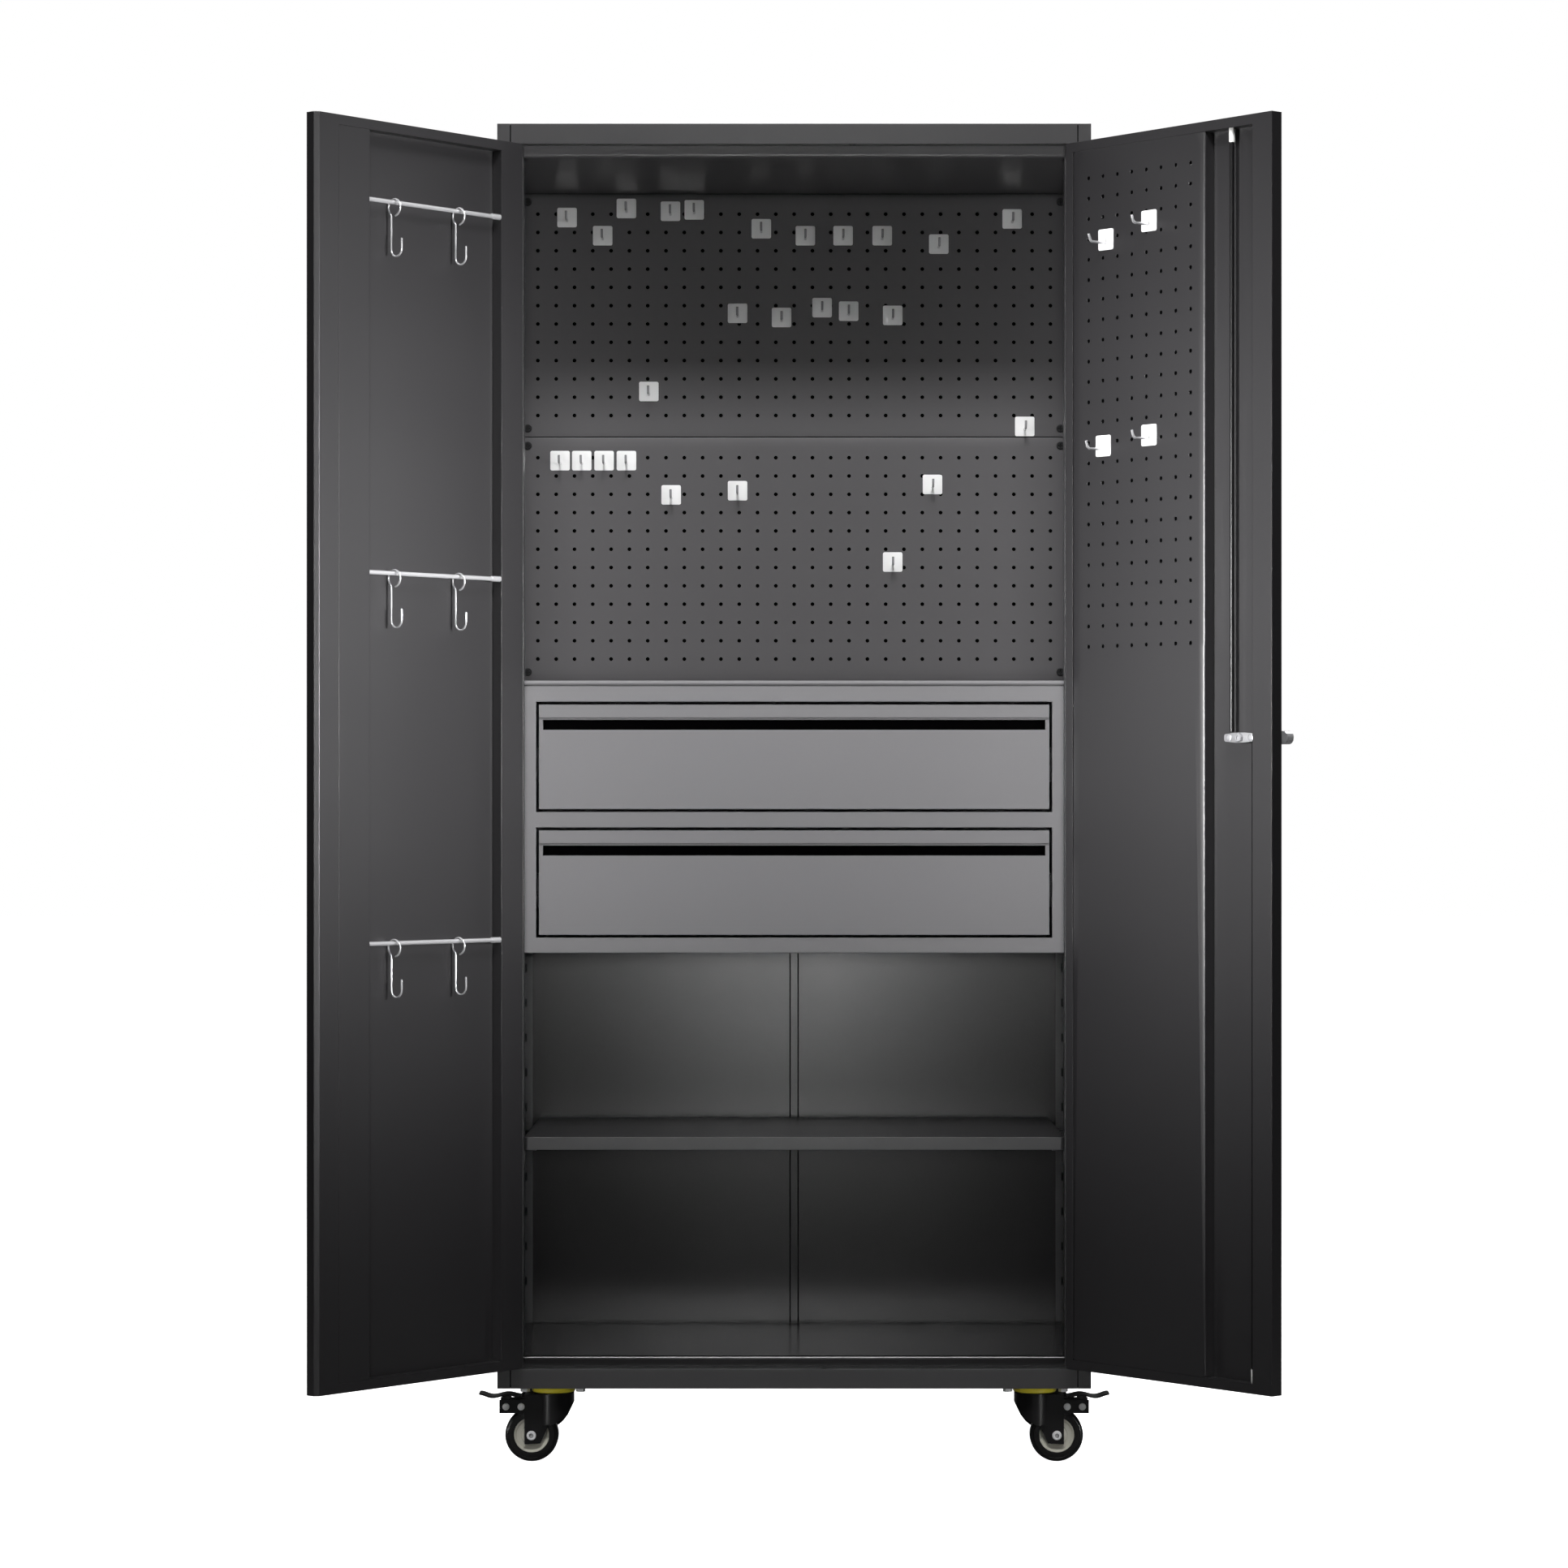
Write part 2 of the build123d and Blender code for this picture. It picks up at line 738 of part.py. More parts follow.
def hanging_rods():
    """Three rods across the left door's recess, each with a thicker sleeve at one end."""
    rods = []
    start = along(-1, left_hinge_stile)
    end = along(-1, door_width - left_free_stile)
    centre_y = door_thickness - rod_inset
    for level in rod_levels:
        bar = rod_along("X", rod_diameter, start, end, (centre_y, level))
        bar += rod_along("X", rod_sleeve_diameter, start, start + rod_sleeve_length, (centre_y, level))
        rods.append(bar)
    return group(rods)


def hanging_hook(place, level):
    """A wire hook that hangs from a rod: a loop round the rod, a shank and a mouth."""
    middle = (hook_ring + hook_wire) / 2
    y = door_thickness - rod_inset
    loop_z = level + rod_diameter / 2 + hook_wire / 2 - middle + sheet_gap
    mouth = (hook_mouth + hook_wire) / 2
    foot_z = level - hook_drop + mouth
    bow = [(y + middle * cos(radians(a)), loop_z + middle * sin(radians(a))) for a in range(-80, 233, 24)]
    foot_y = bow[-1][0] + mouth
    foot = [(foot_y + mouth * cos(radians(a)), foot_z + mouth * sin(radians(a))) for a in range(180, 361, 30)]
    path = Plane.YZ.offset(along(-1, place)) * Polyline(*bow, *foot, (foot_y + mouth, foot_z + hook_tip))
    section = Plane(path @ 0, z_dir=path % 0) * RegularPolygon(hook_wire / 2, 6)
    return sweep(section, path=path, transition=Transition.RIGHT)


def hook_pair(level):
    return group([hanging_hook(place, level) for place in hook_places])


def perforated_panel():
    """The right door's inner sheet, with one edge bent back to the outer sheet."""
    start = along(1, right_hinge_stile) - gauge - sheet_gap
    end = along(1, perforated_end)
    levels = (door_bottom + door_rail + sheet_gap, door_top - door_rail - sheet_gap)
    plan = (
        (start, gauge),
        (start, door_thickness),
        (end, door_thickness),
        (end, gauge),
    )
    panel = fold_up(plan, gauge, *levels)
    first_x = along(1, door_peg_first + (door_peg_columns - 1) * door_peg_pitch)
    return panel - hole_grid(door_peg_columns, door_peg_rows, door_peg_pitch, first_x, door_peg_top,
                             (door_thickness - gauge - 1, door_thickness + 1), peg_step)


def rod_holes():
    """The holes through the right door's rims that guide the lock rods."""
    hole = rod_tip_diameter + 2 * rod_hole_clearance
    centre_y = door_thickness - rod_layer
    upper, lower = rod_xs
    holes = rod_along("Z", hole, door_top - door_rail - 5, door_top + 5, (upper, centre_y))
    return holes + rod_along("Z", hole, door_bottom - 5, door_bottom + door_rail + 5, (lower, centre_y))


def lock_rod(x, upward):
    """A rod from beside the cam to the door's edge, with a plastic tip."""
    centre = (x, door_thickness - rod_layer)
    near = lock_level + upward * rod_start
    edge = door_top if upward > 0 else door_bottom
    end = edge - upward * rod_tip_gap
    tip = end - upward * rod_tip_length
    bar = rod_along("Z", lock_rod_diameter, min(near, tip), max(near, tip), centre)
    cap = rod_along("Z", rod_tip_diameter, min(tip, end), max(tip, end), centre)
    return group([bar, cap])


def lock_cam():
    """A plate on the spindle's end, with a nut and a pin for each rod."""
    x = along(1, lock_place)
    near = cam_depth
    far = near + cam_thickness
    plate = box((x - cam_length / 2, x + cam_length / 2), (near, far),
                (lock_level - cam_width / 2, lock_level + cam_width / 2))
    corners = plate.edges().filter_by(Axis.Y)
    cam = fillet(corners, cam_width / 2 - 0.5)
    nut = extrude(Plane.XZ.offset(-far) * RegularPolygon(cam_nut_size / 2, 6), amount=-cam_nut_height)
    cam += Pos(x, 0, lock_level) * nut
    for side in (-1, 1):
        cam += rod_along("Y", cam_pin_diameter, near - cam_pin_reach, far + gauge, (x + side * cam_arm, lock_level))
    return cam


def lock_rose():
    """The round plate under the handle, bored for the spindle."""
    x = along(1, lock_place)
    disc = rod_along("Y", rose_diameter, -rose_thickness, 0, (x, lock_level))
    rim = [e for e in disc.edges() if e.center().Y < -rose_thickness + 0.1]
    disc = chamfer(rim, rose_chamfer)
    bore = spindle_diameter + 2 * spindle_clearance
    return disc - rod_along("Y", bore, -rose_thickness - 1, 1, (x, lock_level))


def lock_handle():
    """The turning grip: a hub with a bar, a key cylinder in its face and the spindle behind."""
    x = along(1, lock_place)
    hub_back = -rose_thickness - sheet_gap
    hub = rod_along("Y", handle_hub_diameter, -handle_standoff, hub_back, (x, lock_level))
    grip = box((x - handle_length / 2, x + handle_length / 2), (-handle_standoff, -handle_standoff + handle_grip_depth),
               (lock_level - handle_width / 2, lock_level + handle_width / 2))
    grip = fillet(grip.edges().filter_by(Axis.Y), handle_width / 2 - 0.5)
    handle = hub + grip
    face = -handle_standoff - lock_cylinder_proud
    handle += rod_along("Y", lock_cylinder_diameter, face, -handle_standoff, (x, lock_level))
    handle += rod_along("Y", spindle_diameter, hub_back, cam_depth, (x, lock_level))
    slot_width, slot_height = keyway
    return handle - box((x - slot_width / 2, x + slot_width / 2), (face - 1, face + lock_cylinder_proud),
                        (lock_level - slot_height / 2, lock_level + slot_height / 2))


def spindle_hole():
    bore = spindle_diameter + 2 * spindle_clearance
    return rod_along("Y", bore, -1, gauge + 1, (along(1, lock_place), lock_level))


# Hinges


def frame_hinge(side, level):
    """A leaf on the flange with the outer knuckles and the pin."""
    wall = side * (flange_x - seat_gap)
    leaf = (wall, wall - side * hinge_leaf)
    low, high = level - hinge_height / 2, level + hinge_height / 2
    hinge = box(leaf, (hinge_split, hinge_leaf_depth), (low, high))
    centre = (side * hinge_x, -hinge_standoff)
    for start in (low, high - knuckle_length):
        levels = (start, start + knuckle_length)
        hinge += rod_along("Z", 2 * knuckle_radius, *levels, centre)
        hinge += box(leaf, (-hinge_standoff, hinge_split), levels)
    return hinge + rod_along("Z", hinge_pin_diameter, low, high, centre)


def door_hinge(side, level):
    """A leaf on the door's edge with the middle knuckle."""
    edge = side * door_outer
    leaf = (edge, edge + side * hinge_leaf)
    low, high = level - hinge_height / 2, level + hinge_height / 2
    hinge = box(leaf, (hinge_split, hinge_leaf_depth), (low, high))
    centre = (side * hinge_x, -hinge_standoff)
    levels = (level - knuckle_length / 2, level + knuckle_length / 2)
    hinge += rod_along("Z", 2 * knuckle_radius, *levels, centre)
    hinge += box(leaf, (-hinge_standoff, hinge_split), levels)
    bore = hinge_pin_diameter + 2 * hinge_clearance
    return hinge - rod_along("Z", bore, low, high, centre)


# Casters. Each is drawn with its swivel axis at X = Y = 0 and its wheel trailing along +X.


def wheel_disc(diameter, length):
    return rod_along("Y", diameter, -length / 2, length / 2, (caster_trail, wheel_radius))


def tyre():
    ring = wheel_disc(wheel_diameter, wheel_width)
    ring = chamfer(ring.edges().filter_by(GeomType.CIRCLE), tyre_shoulder)
    return ring - wheel_disc(hub_diameter, wheel_width + 1)


def hub():
    disc = wheel_disc(hub_diameter, wheel_width - 2 * hub_recess) + wheel_disc(hub_boss, hub_width)
    return disc - wheel_disc(axle_diameter + 2 * hinge_clearance, hub_width + 1)


def axle():
    """The wheel's bolt, with a head on one side of the fork and a nut on the other."""
    out = hub_width / 2 + sheet_gap + fork_gauge
    centre = (caster_trail, wheel_radius)
    bolt = rod_along("Y", axle_diameter, -out, out, centre)
    for near, far in ((-out - 4, -out), (out, out + 4)):
        bolt += rod_along("Y", 13, near, far, centre)
    return bolt


def fork(braked):
    """A pressed fork: a crown with a skirt round its leading side, and two cheeks to the axle."""
    top = race_bottom - sheet_gap
    inner = hub_width / 2 + sheet_gap
    outer = inner + fork_gauge
    rim = crown_diameter / 2
    skirt_low = top - fork_skirt
    crown = rod_along("Z", crown_diameter, skirt_low, top, (0, 0))
    crown -= rod_along("Z", crown_diameter - 2 * fork_gauge, skirt_low - 1, top - fork_crown, (0, 0))
    below = Polyline((-rim - 1, top - fork_skirt / 4), (-rim * 0.7, top - fork_skirt * 0.7), (0, skirt_low),
                     (skirt_end, skirt_low), (skirt_end, top - fork_crown), (rim + 1, top - fork_crown),
                     (rim + 1, skirt_low - 1), (-rim - 1, skirt_low - 1), close=True)
    crown -= extrude(Plane.XZ.offset(-rim - 1) * make_face(below), amount=crown_diameter + 2)
    heel = caster_trail + fork_toe
    foot = wheel_radius - fork_foot
    outline = Polyline((0, top - 1), (0, skirt_low + fork_heel), (caster_trail - fork_heel, foot), (heel, foot - 1),
                       (heel, top - fork_crown), (skirt_end, top - 1), close=True)
    cheek = extrude(Plane.XZ.offset(inner) * make_face(outline), amount=fork_gauge)
    pieces = crown + cheek + mirror(cheek, about=Plane.XZ)
    pieces += box((0, heel), (-outer, outer), (top - 2 * fork_crown, top - fork_crown))
    if braked:
        levels = (pedal_pivot[1] - arm_height / 2, pedal_pivot[1] + arm_height / 2)
        arm = box((heel - fork_gauge, caster_trail + arm_reach), (inner, outer), levels)
        pieces += arm + mirror(arm, about=Plane.XZ)
        pieces += rod_along("Y", rivet_diameter, -outer, outer, pedal_pivot)
        for place in (pedal_pivot, (heel + rivet_head_diameter / 2, pedal_pivot[1])):
            for near in (-outer - rivet_head_height, outer):
                pieces += rod_along("Y", rivet_head_diameter, near, near + rivet_head_height, place)
    bolt = axle_diameter + 2 * sheet_gap
    return pieces - rod_along("Y", bolt, -outer - 1, outer + 1, (caster_trail, wheel_radius))


def brake_pedal():
    """The foot lever of a front caster, bent up at its tip and riveted between the arms."""
    pivot_x, pivot_z = pedal_pivot
    inner = hub_width / 2 - sheet_gap
    rest = pivot_z + arm_height / 2 + pedal_clearance
    high = rest + pedal_wave
    lever = folded(((pivot_x - 20, rest), (pivot_x - 6, high), (pivot_x + 6, high), (pivot_x + 20, rest),
                    (pivot_x + pedal_reach, high)), pedal_gauge)
    solid = extrude(Plane.XZ.offset(-pedal_width / 2) * lever, amount=pedal_width)
    half_ear = pedal_ear / 2
    ear = box((pivot_x - half_ear, pivot_x + half_ear), (inner - pedal_gauge, inner), (pivot_z - half_ear, high + 1))
    solid += ear + mirror(ear, about=Plane.XZ)
    bore = rivet_diameter + 2 * hinge_clearance
    return solid - rod_along("Y", bore, -inner - 1, inner + 1, pedal_pivot)


def caster_places():
    """The swivel axis of each caster and the way that its wheel trails."""
    return {
        "front_left": (-swivel_x, front_swivel_depth, 180),
        "front_right": (swivel_x, front_swivel_depth, 0),
        "rear_left": (-swivel_x, rear_swivel_depth, 180),
        "rear_right": (swivel_x, rear_swivel_depth, 0),
    }


def at_caster(name, shape):
    x, y, turn = caster_places()[name]
    return Pos(x, y, 0) * Rot(0, 0, turn) * shape


def caster_plates():
    plates = []
    for x, y, _ in caster_places().values():
        plate = box((x - plate_length / 2, x + plate_length / 2), (y - plate_width / 2, y + plate_width / 2),
                    (plate_bottom, caster_height))
        plates.append(fillet(plate.edges().filter_by(Axis.Z), 6))
    return group(plates)


def caster_bolts():
    heads = []
    for x, y, _ in caster_places().values():
        for across in (-plate_bolt_x / 2, plate_bolt_x / 2):
            for along_y in (-plate_bolt_y / 2, plate_bolt_y / 2):
                hexagon = RegularPolygon(plate_bolt_head / 2, 6)
                head = extrude(Pos(x + across, y + along_y, plate_bottom) * hexagon, amount=-plate_bolt_height)
                heads.append(head)
    return group(heads)


def caster_races():
    """The dust rings over the swivel bearings."""
    return group([
        rod_along("Z", race_diameter, race_bottom, plate_bottom, (x, y))
        for x, y, _ in caster_places().values()
    ])


# Places shared by several pieces
cam_depth = door_thickness - rod_layer + lock_rod_diameter / 2 + 2 * sheet_gap
upper_rod_side = -1  # the upper rod stands on the hinge side of the lock
rod_xs = (along(1, lock_place - cam_arm), along(1, lock_place + cam_arm))
board_tops = (ceiling, ceiling - board_height - board_seam)
slide_length = unit_back - gauge - sheet_gap - (unit_depth + drawer_front_depth) - tray_rear_room
upper_low = unit_bottom + frame_bottom_rail
drawer_height = (unit_top - frame_top_rail - frame_mid_rail - upper_low - 4 * drawer_clearance) / 2
lower_drawer = (upper_low + drawer_clearance, upper_low + drawer_clearance + drawer_height)
upper_drawer = (lower_drawer[1] + 2 * drawer_clearance + frame_mid_rail,
                lower_drawer[1] + 2 * drawer_clearance + frame_mid_rail + drawer_height)
drawer_levels = (upper_drawer, lower_drawer)
pedal_pivot = (caster_trail + arm_reach - rivet_head_diameter, pedal_level)

# Carcass
export("side_right", side_panel())
export("side_left", mirrored(side_panel()))
export("top_panel", top_panel())
export("ceiling", inner_deck(ceiling, height - gauge))
export("floor_pan", inner_deck(bay_floor, carcass_bottom + base_gauge))
export("base_tray", base_tray())
export("back_right", back_panel())
export("back_left", mirrored(back_panel()))
export("back_seam", back_seam())
export("pegboard_upper", pegboard(board_tops[0]))
export("pegboard_lower", pegboard(board_tops[1]))
export("pegboard_screws", board_screws())
export("peg_hooks", group([peg_hook(x, board_depth, ceiling - drop) for x, drop in board_hooks]))
export("shelf", shelf())
export("shelf_clips", shelf_clips())

# Drawer unit
export("drawer_case", drawer_case())
export("drawer_face_frame", face_frame())
export("counter", counter())
export("slide_channels", slide_channels())
for name, (low, high) in zip(("upper", "lower"), drawer_levels):
    export(f"{name}_drawer_front", drawer_front(low, high))
    export(f"{name}_drawer_tray", drawer_tray(low))
    export(f"{name}_slide_runners", slide_runners(low))

# Left door
left_shell = door_shell(-1, left_hinge_stile, left_free_flange, free_edge_bevel)
export("left_door_shell", opened(-1, left_shell))
export("left_door_stile", opened(-1, free_stile()))
export("hanging_rods", opened(-1, hanging_rods()))
for name, level in zip(("top", "middle", "bottom"), rod_levels):
    export(f"hanging_hooks_{name}", opened(-1, hook_pair(level)))
export("left_door_hinges", opened(-1, group([door_hinge(-1, level) for level in hinge_levels])))

# Right door
right_shell = door_shell(1, right_hinge_stile, door_width - lock_channel_end, 0)
right_shell = right_shell - rod_holes() - spindle_hole()
export("right_door_shell", opened(1, right_shell))
export("right_door_panel", opened(1, perforated_panel()))
export("door_peg_hooks", opened(1, group([
    mirror(peg_hook(along(1, place), -door_thickness, door_top - drop), about=Plane.XZ)
    for place, drop in door_hooks
])))
export("right_door_hinges", opened(1, group([door_hinge(1, level) for level in hinge_levels])))
export("lock_rose", opened(1, lock_rose()))
export("lock_handle", opened(1, lock_handle()))
export("lock_cam", opened(1, lock_cam()))
export("lock_rod_upper", opened(1, lock_rod(rod_xs[0], 1)))
export("lock_rod_lower", opened(1, lock_rod(rod_xs[1], -1)))

# Hinge leaves and pins on the carcass
export("frame_hinges", group([frame_hinge(side, level) for side in (-1, 1) for level in hinge_levels]))

# Casters
export("caster_plates", caster_plates())
export("caster_bolts", caster_bolts())
export("caster_races", caster_races())
for name in caster_places():
    braked = name.startswith("front")
    export(f"fork_{name}", at_caster(name, fork(braked)))
    export(f"wheel_{name}", at_caster(name, group([tyre(), hub()])))
    export(f"axle_{name}", at_caster(name, axle()))
    if braked:
        export(f"brake_pedal_{name}", at_caster(name, brake_pedal()))

print("front plane Y", round(front_y, 2), "door reach", round(door_reach, 2))
print("travel: drawers", drawer_travel, "pedals", pedal_travel, "degrees")
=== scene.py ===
import bpy
import bmesh
from math import cos, sin, pi, radians
from mathutils import Matrix, Vector


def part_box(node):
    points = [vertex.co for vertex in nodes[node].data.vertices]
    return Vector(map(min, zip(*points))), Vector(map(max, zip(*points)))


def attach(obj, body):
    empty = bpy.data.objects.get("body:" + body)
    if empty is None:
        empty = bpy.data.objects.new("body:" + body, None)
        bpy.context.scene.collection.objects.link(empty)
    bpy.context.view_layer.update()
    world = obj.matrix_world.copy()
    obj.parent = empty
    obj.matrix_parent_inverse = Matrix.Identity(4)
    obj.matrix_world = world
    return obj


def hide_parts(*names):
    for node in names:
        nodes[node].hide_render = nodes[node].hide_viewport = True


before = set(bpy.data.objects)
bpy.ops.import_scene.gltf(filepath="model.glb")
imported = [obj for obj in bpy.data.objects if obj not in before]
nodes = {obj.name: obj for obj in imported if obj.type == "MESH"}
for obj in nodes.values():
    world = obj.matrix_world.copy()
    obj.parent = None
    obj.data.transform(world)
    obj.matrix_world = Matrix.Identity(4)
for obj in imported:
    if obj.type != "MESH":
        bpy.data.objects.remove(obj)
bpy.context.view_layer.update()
print("frame loaded,", len(nodes), "nodes")

mm = 0.001
casterNames = ("front_left", "front_right", "rear_left", "rear_right")
cabinet = {"frontY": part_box("side_right")[0][1] / mm, "boardDepth": 380.0,
           "doorOuter": 380.0, "doorThickness": 18.0, "doorBottom": 133.5, "doorTop": 1778.0,
           "hingeX": 381.25, "hingeY": -4.4, "doorOpen": 130.4}


def swung(side):  # from a closed door to where the door stands
    pivot = Vector((side * cabinet["hingeX"], cabinet["hingeY"], 0))
    turn = Matrix.Rotation(radians(side * cabinet["doorOpen"]), 4, "Z")
    return Matrix.Translation(pivot) @ turn @ Matrix.Translation(-pivot)


# from mm behind the front's plane to the shared frame
toRow = Matrix.Scale(mm, 4) @ Matrix.Translation((0, cabinet["frontY"], 0))


# Shader groups

shading = {"closedBelow": 0.2, "openAbove": 0.75, "gapLight": 0.04, "gapDryness": 0.6, "gapSamples": 6,
           "cloudScale": 2.3, "cloudDetail": 3.0, "peelDetail": 2.0, "rubDetail": 4.0,
           "bumpDistance": 0.0001, "edgeSamples": 4}


def nodeIn(tree, kind, **settings):
    node = tree.nodes.new(kind)
    for name, value in settings.items():
        setattr(node, name, value)
    return node


def newGroup(name, inputs, outputs):
    group = bpy.data.node_groups.new(name, "ShaderNodeTree")
    for label, kind, value in inputs:
        socket = group.interface.new_socket(label, in_out="INPUT", socket_type=kind)
        socket.default_value = value
    for label, kind in outputs:
        group.interface.new_socket(label, in_out="OUTPUT", socket_type=kind)
    return group, group.nodes.new("NodeGroupInput"), group.nodes.new("NodeGroupOutput")


def mathNode(tree, operation, first, second, clamp=False):  # each input is a socket or a number
    node = nodeIn(tree, "ShaderNodeMath", operation=operation, use_clamp=clamp)
    for socket, value in zip(node.inputs, (first, second)):
        if isinstance(value, float):
            socket.default_value = value
        else:
            tree.links.new(value, socket)
    return node.outputs[0]


def spreadNoise(tree, noise, amount):  # the noise about zero, times an amount
    return mathNode(tree, "MULTIPLY", mathNode(tree, "SUBTRACT", noise, 0.5), amount)


def buildCreviceShadeGroup():  # painted shade: darker colour and a drier finish inside gaps, holes and creases
    group, start, end = newGroup("creviceShade", [
        ("Colour", "NodeSocketColor", (0.5, 0.5, 0.5, 1)), ("Roughness", "NodeSocketFloat", 0.4),
        ("Reach", "NodeSocketFloat", 0.012)],
        [("Colour", "NodeSocketColor"), ("Roughness", "NodeSocketFloat")])
    link = group.links.new
    hidden = nodeIn(group, "ShaderNodeAmbientOcclusion", samples=shading["gapSamples"])
    link(start.outputs["Reach"], hidden.inputs["Distance"])
    openness = nodeIn(group, "ShaderNodeMapRange", interpolation_type="SMOOTHSTEP")
    openness.inputs["From Min"].default_value = shading["closedBelow"]
    openness.inputs["From Max"].default_value = shading["openAbove"]
    openness.inputs["To Min"].default_value = shading["gapLight"]
    link(hidden.outputs["AO"], openness.inputs["Value"])
    shaded = nodeIn(group, "ShaderNodeVectorMath", operation="SCALE")
    link(start.outputs["Colour"], shaded.inputs[0])
    link(openness.outputs["Result"], shaded.inputs["Scale"])
    closed = mathNode(group, "SUBTRACT", 1.0, openness.outputs["Result"])
    dry = mathNode(group, "MULTIPLY", closed, shading["gapDryness"])
    link(shaded.outputs[0], end.inputs["Colour"])
    link(mathNode(group, "ADD", start.outputs["Roughness"], dry, True), end.inputs["Roughness"])
    return group


def buildPowderGroup():  # baked powder paint: fine orange peel and faint cloudiness
    group, start, end = newGroup("powderPaint", [
        ("Colour", "NodeSocketColor", (0.05, 0.05, 0.05, 1)), ("Cloud", "NodeSocketFloat", 0.08),
        ("Roughness", "NodeSocketFloat", 0.4), ("Peel", "NodeSocketFloat", 900.0)],
        [("Colour", "NodeSocketColor"), ("Roughness", "NodeSocketFloat"), ("Height", "NodeSocketFloat")])
    link = group.links.new
    place = nodeIn(group, "ShaderNodeTexCoord")
    cloud = nodeIn(group, "ShaderNodeTexNoise")
    cloud.inputs["Scale"].default_value = shading["cloudScale"]
    cloud.inputs["Detail"].default_value = shading["cloudDetail"]
    link(place.outputs["Object"], cloud.inputs["Vector"])
    peel = nodeIn(group, "ShaderNodeTexNoise")
    peel.inputs["Detail"].default_value = shading["peelDetail"]
    link(start.outputs["Peel"], peel.inputs["Scale"])
    link(place.outputs["Object"], peel.inputs["Vector"])
    drift = spreadNoise(group, cloud.outputs["Fac"], start.outputs["Cloud"])
    tinted = nodeIn(group, "ShaderNodeVectorMath", operation="SCALE")
    link(start.outputs["Colour"], tinted.inputs[0])
    link(mathNode(group, "ADD", drift, 1.0), tinted.inputs["Scale"])
    link(tinted.outputs[0], end.inputs["Colour"])
    link(mathNode(group, "ADD", start.outputs["Roughness"], drift), end.inputs["Roughness"])
    link(peel.outputs["Fac"], end.inputs["Height"])
    return group


def buildRubGroup():  # handling marks: fine scratches in the gloss and the surface
    group, start, end = newGroup("rubbing", [
        ("Roughness", "NodeSocketFloat", 0.2), ("Amount", "NodeSocketFloat", 0.1),
        ("Scale", "NodeSocketFloat", 60.0)],
        [("Roughness", "NodeSocketFloat"), ("Height", "NodeSocketFloat")])
    link = group.links.new
    place = nodeIn(group, "ShaderNodeTexCoord")
    noise = nodeIn(group, "ShaderNodeTexNoise")
    noise.inputs["Detail"].default_value = shading["rubDetail"]
    link(place.outputs["Object"], noise.inputs["Vector"])
    link(start.outputs["Scale"], noise.inputs["Scale"])
    marks = spreadNoise(group, noise.outputs["Fac"], start.outputs["Amount"])
    link(mathNode(group, "ADD", start.outputs["Roughness"], marks), end.inputs["Roughness"])
    link(noise.outputs["Fac"], end.inputs["Height"])
    return group


creviceShadeGroup = buildCreviceShadeGroup()
powderGroup = buildPowderGroup()
rubGroup = buildRubGroup()


def newMaterial(name):
    material = bpy.data.materials.new(name)
    material.use_nodes = True
    return material, material.node_tree, material.node_tree.nodes["Principled BSDF"]


def groupIn(tree, group, values):
    node = nodeIn(tree, "ShaderNodeGroup", node_tree=group)
    for label, value in values.items():
        node.inputs[label].default_value = value
    return node


def addBump(tree, shader, height, strength):
    bump = nodeIn(tree, "ShaderNodeBump")
    bump.inputs["Strength"].default_value = strength
    bump.inputs["Distance"].default_value = shading["bumpDistance"]
    tree.links.new(height, bump.inputs["Height"])
    tree.links.new(bump.outputs["Normal"], shader.inputs["Normal"])
    return bump


# painted shade: darkens the colour and dries the finish in crevices
def addCreviceShade(tree, shader, reach, roughness):
    creviceShade = groupIn(tree, creviceShadeGroup, {"Reach": reach})
    tree.links.new(roughness, creviceShade.inputs["Roughness"])
    tree.links.new(creviceShade.outputs["Colour"], shader.inputs["Base Color"])
    tree.links.new(creviceShade.outputs["Roughness"], shader.inputs["Roughness"])
    return creviceShade


def powderMaterial(name, look):
    material, tree, shader = newMaterial(name)
    paint = groupIn(tree, powderGroup, {"Colour": (*look["colour"], 1), "Cloud": look["cloud"],
                                        "Roughness": look["roughness"], "Peel": look["peel"]})
    bump = addBump(tree, shader, paint.outputs["Height"], look["bump"])
    if look["edge"] > 0:
        soft = nodeIn(tree, "ShaderNodeBevel", samples=shading["edgeSamples"])
        soft.inputs["Radius"].default_value = look["edge"]
        tree.links.new(soft.outputs["Normal"], bump.inputs["Normal"])
    # painted shade in the paint's crevices
    creviceShade = addCreviceShade(tree, shader, look["seam"], paint.outputs["Roughness"])
    tree.links.new(paint.outputs["Colour"], creviceShade.inputs["Colour"])
    shader.inputs["Specular IOR Level"].default_value = look["gloss"]
    return material


def rubbedMaterial(name, look):
    material, tree, shader = newMaterial(name)
    rub = groupIn(tree, rubGroup, {"Roughness": look["roughness"], "Amount": look["amount"],
                                   "Scale": look["scale"]})
    addBump(tree, shader, rub.outputs["Height"], look["bump"])
    # painted shade in the finish's crevices
    creviceShade = addCreviceShade(tree, shader, look["seam"], rub.outputs["Roughness"])
    creviceShade.inputs["Colour"].default_value = (*look["colour"], 1)
    shader.inputs["Metallic"].default_value = look["metallic"]
    shader.inputs["Specular IOR Level"].default_value = look["gloss"]
    return material
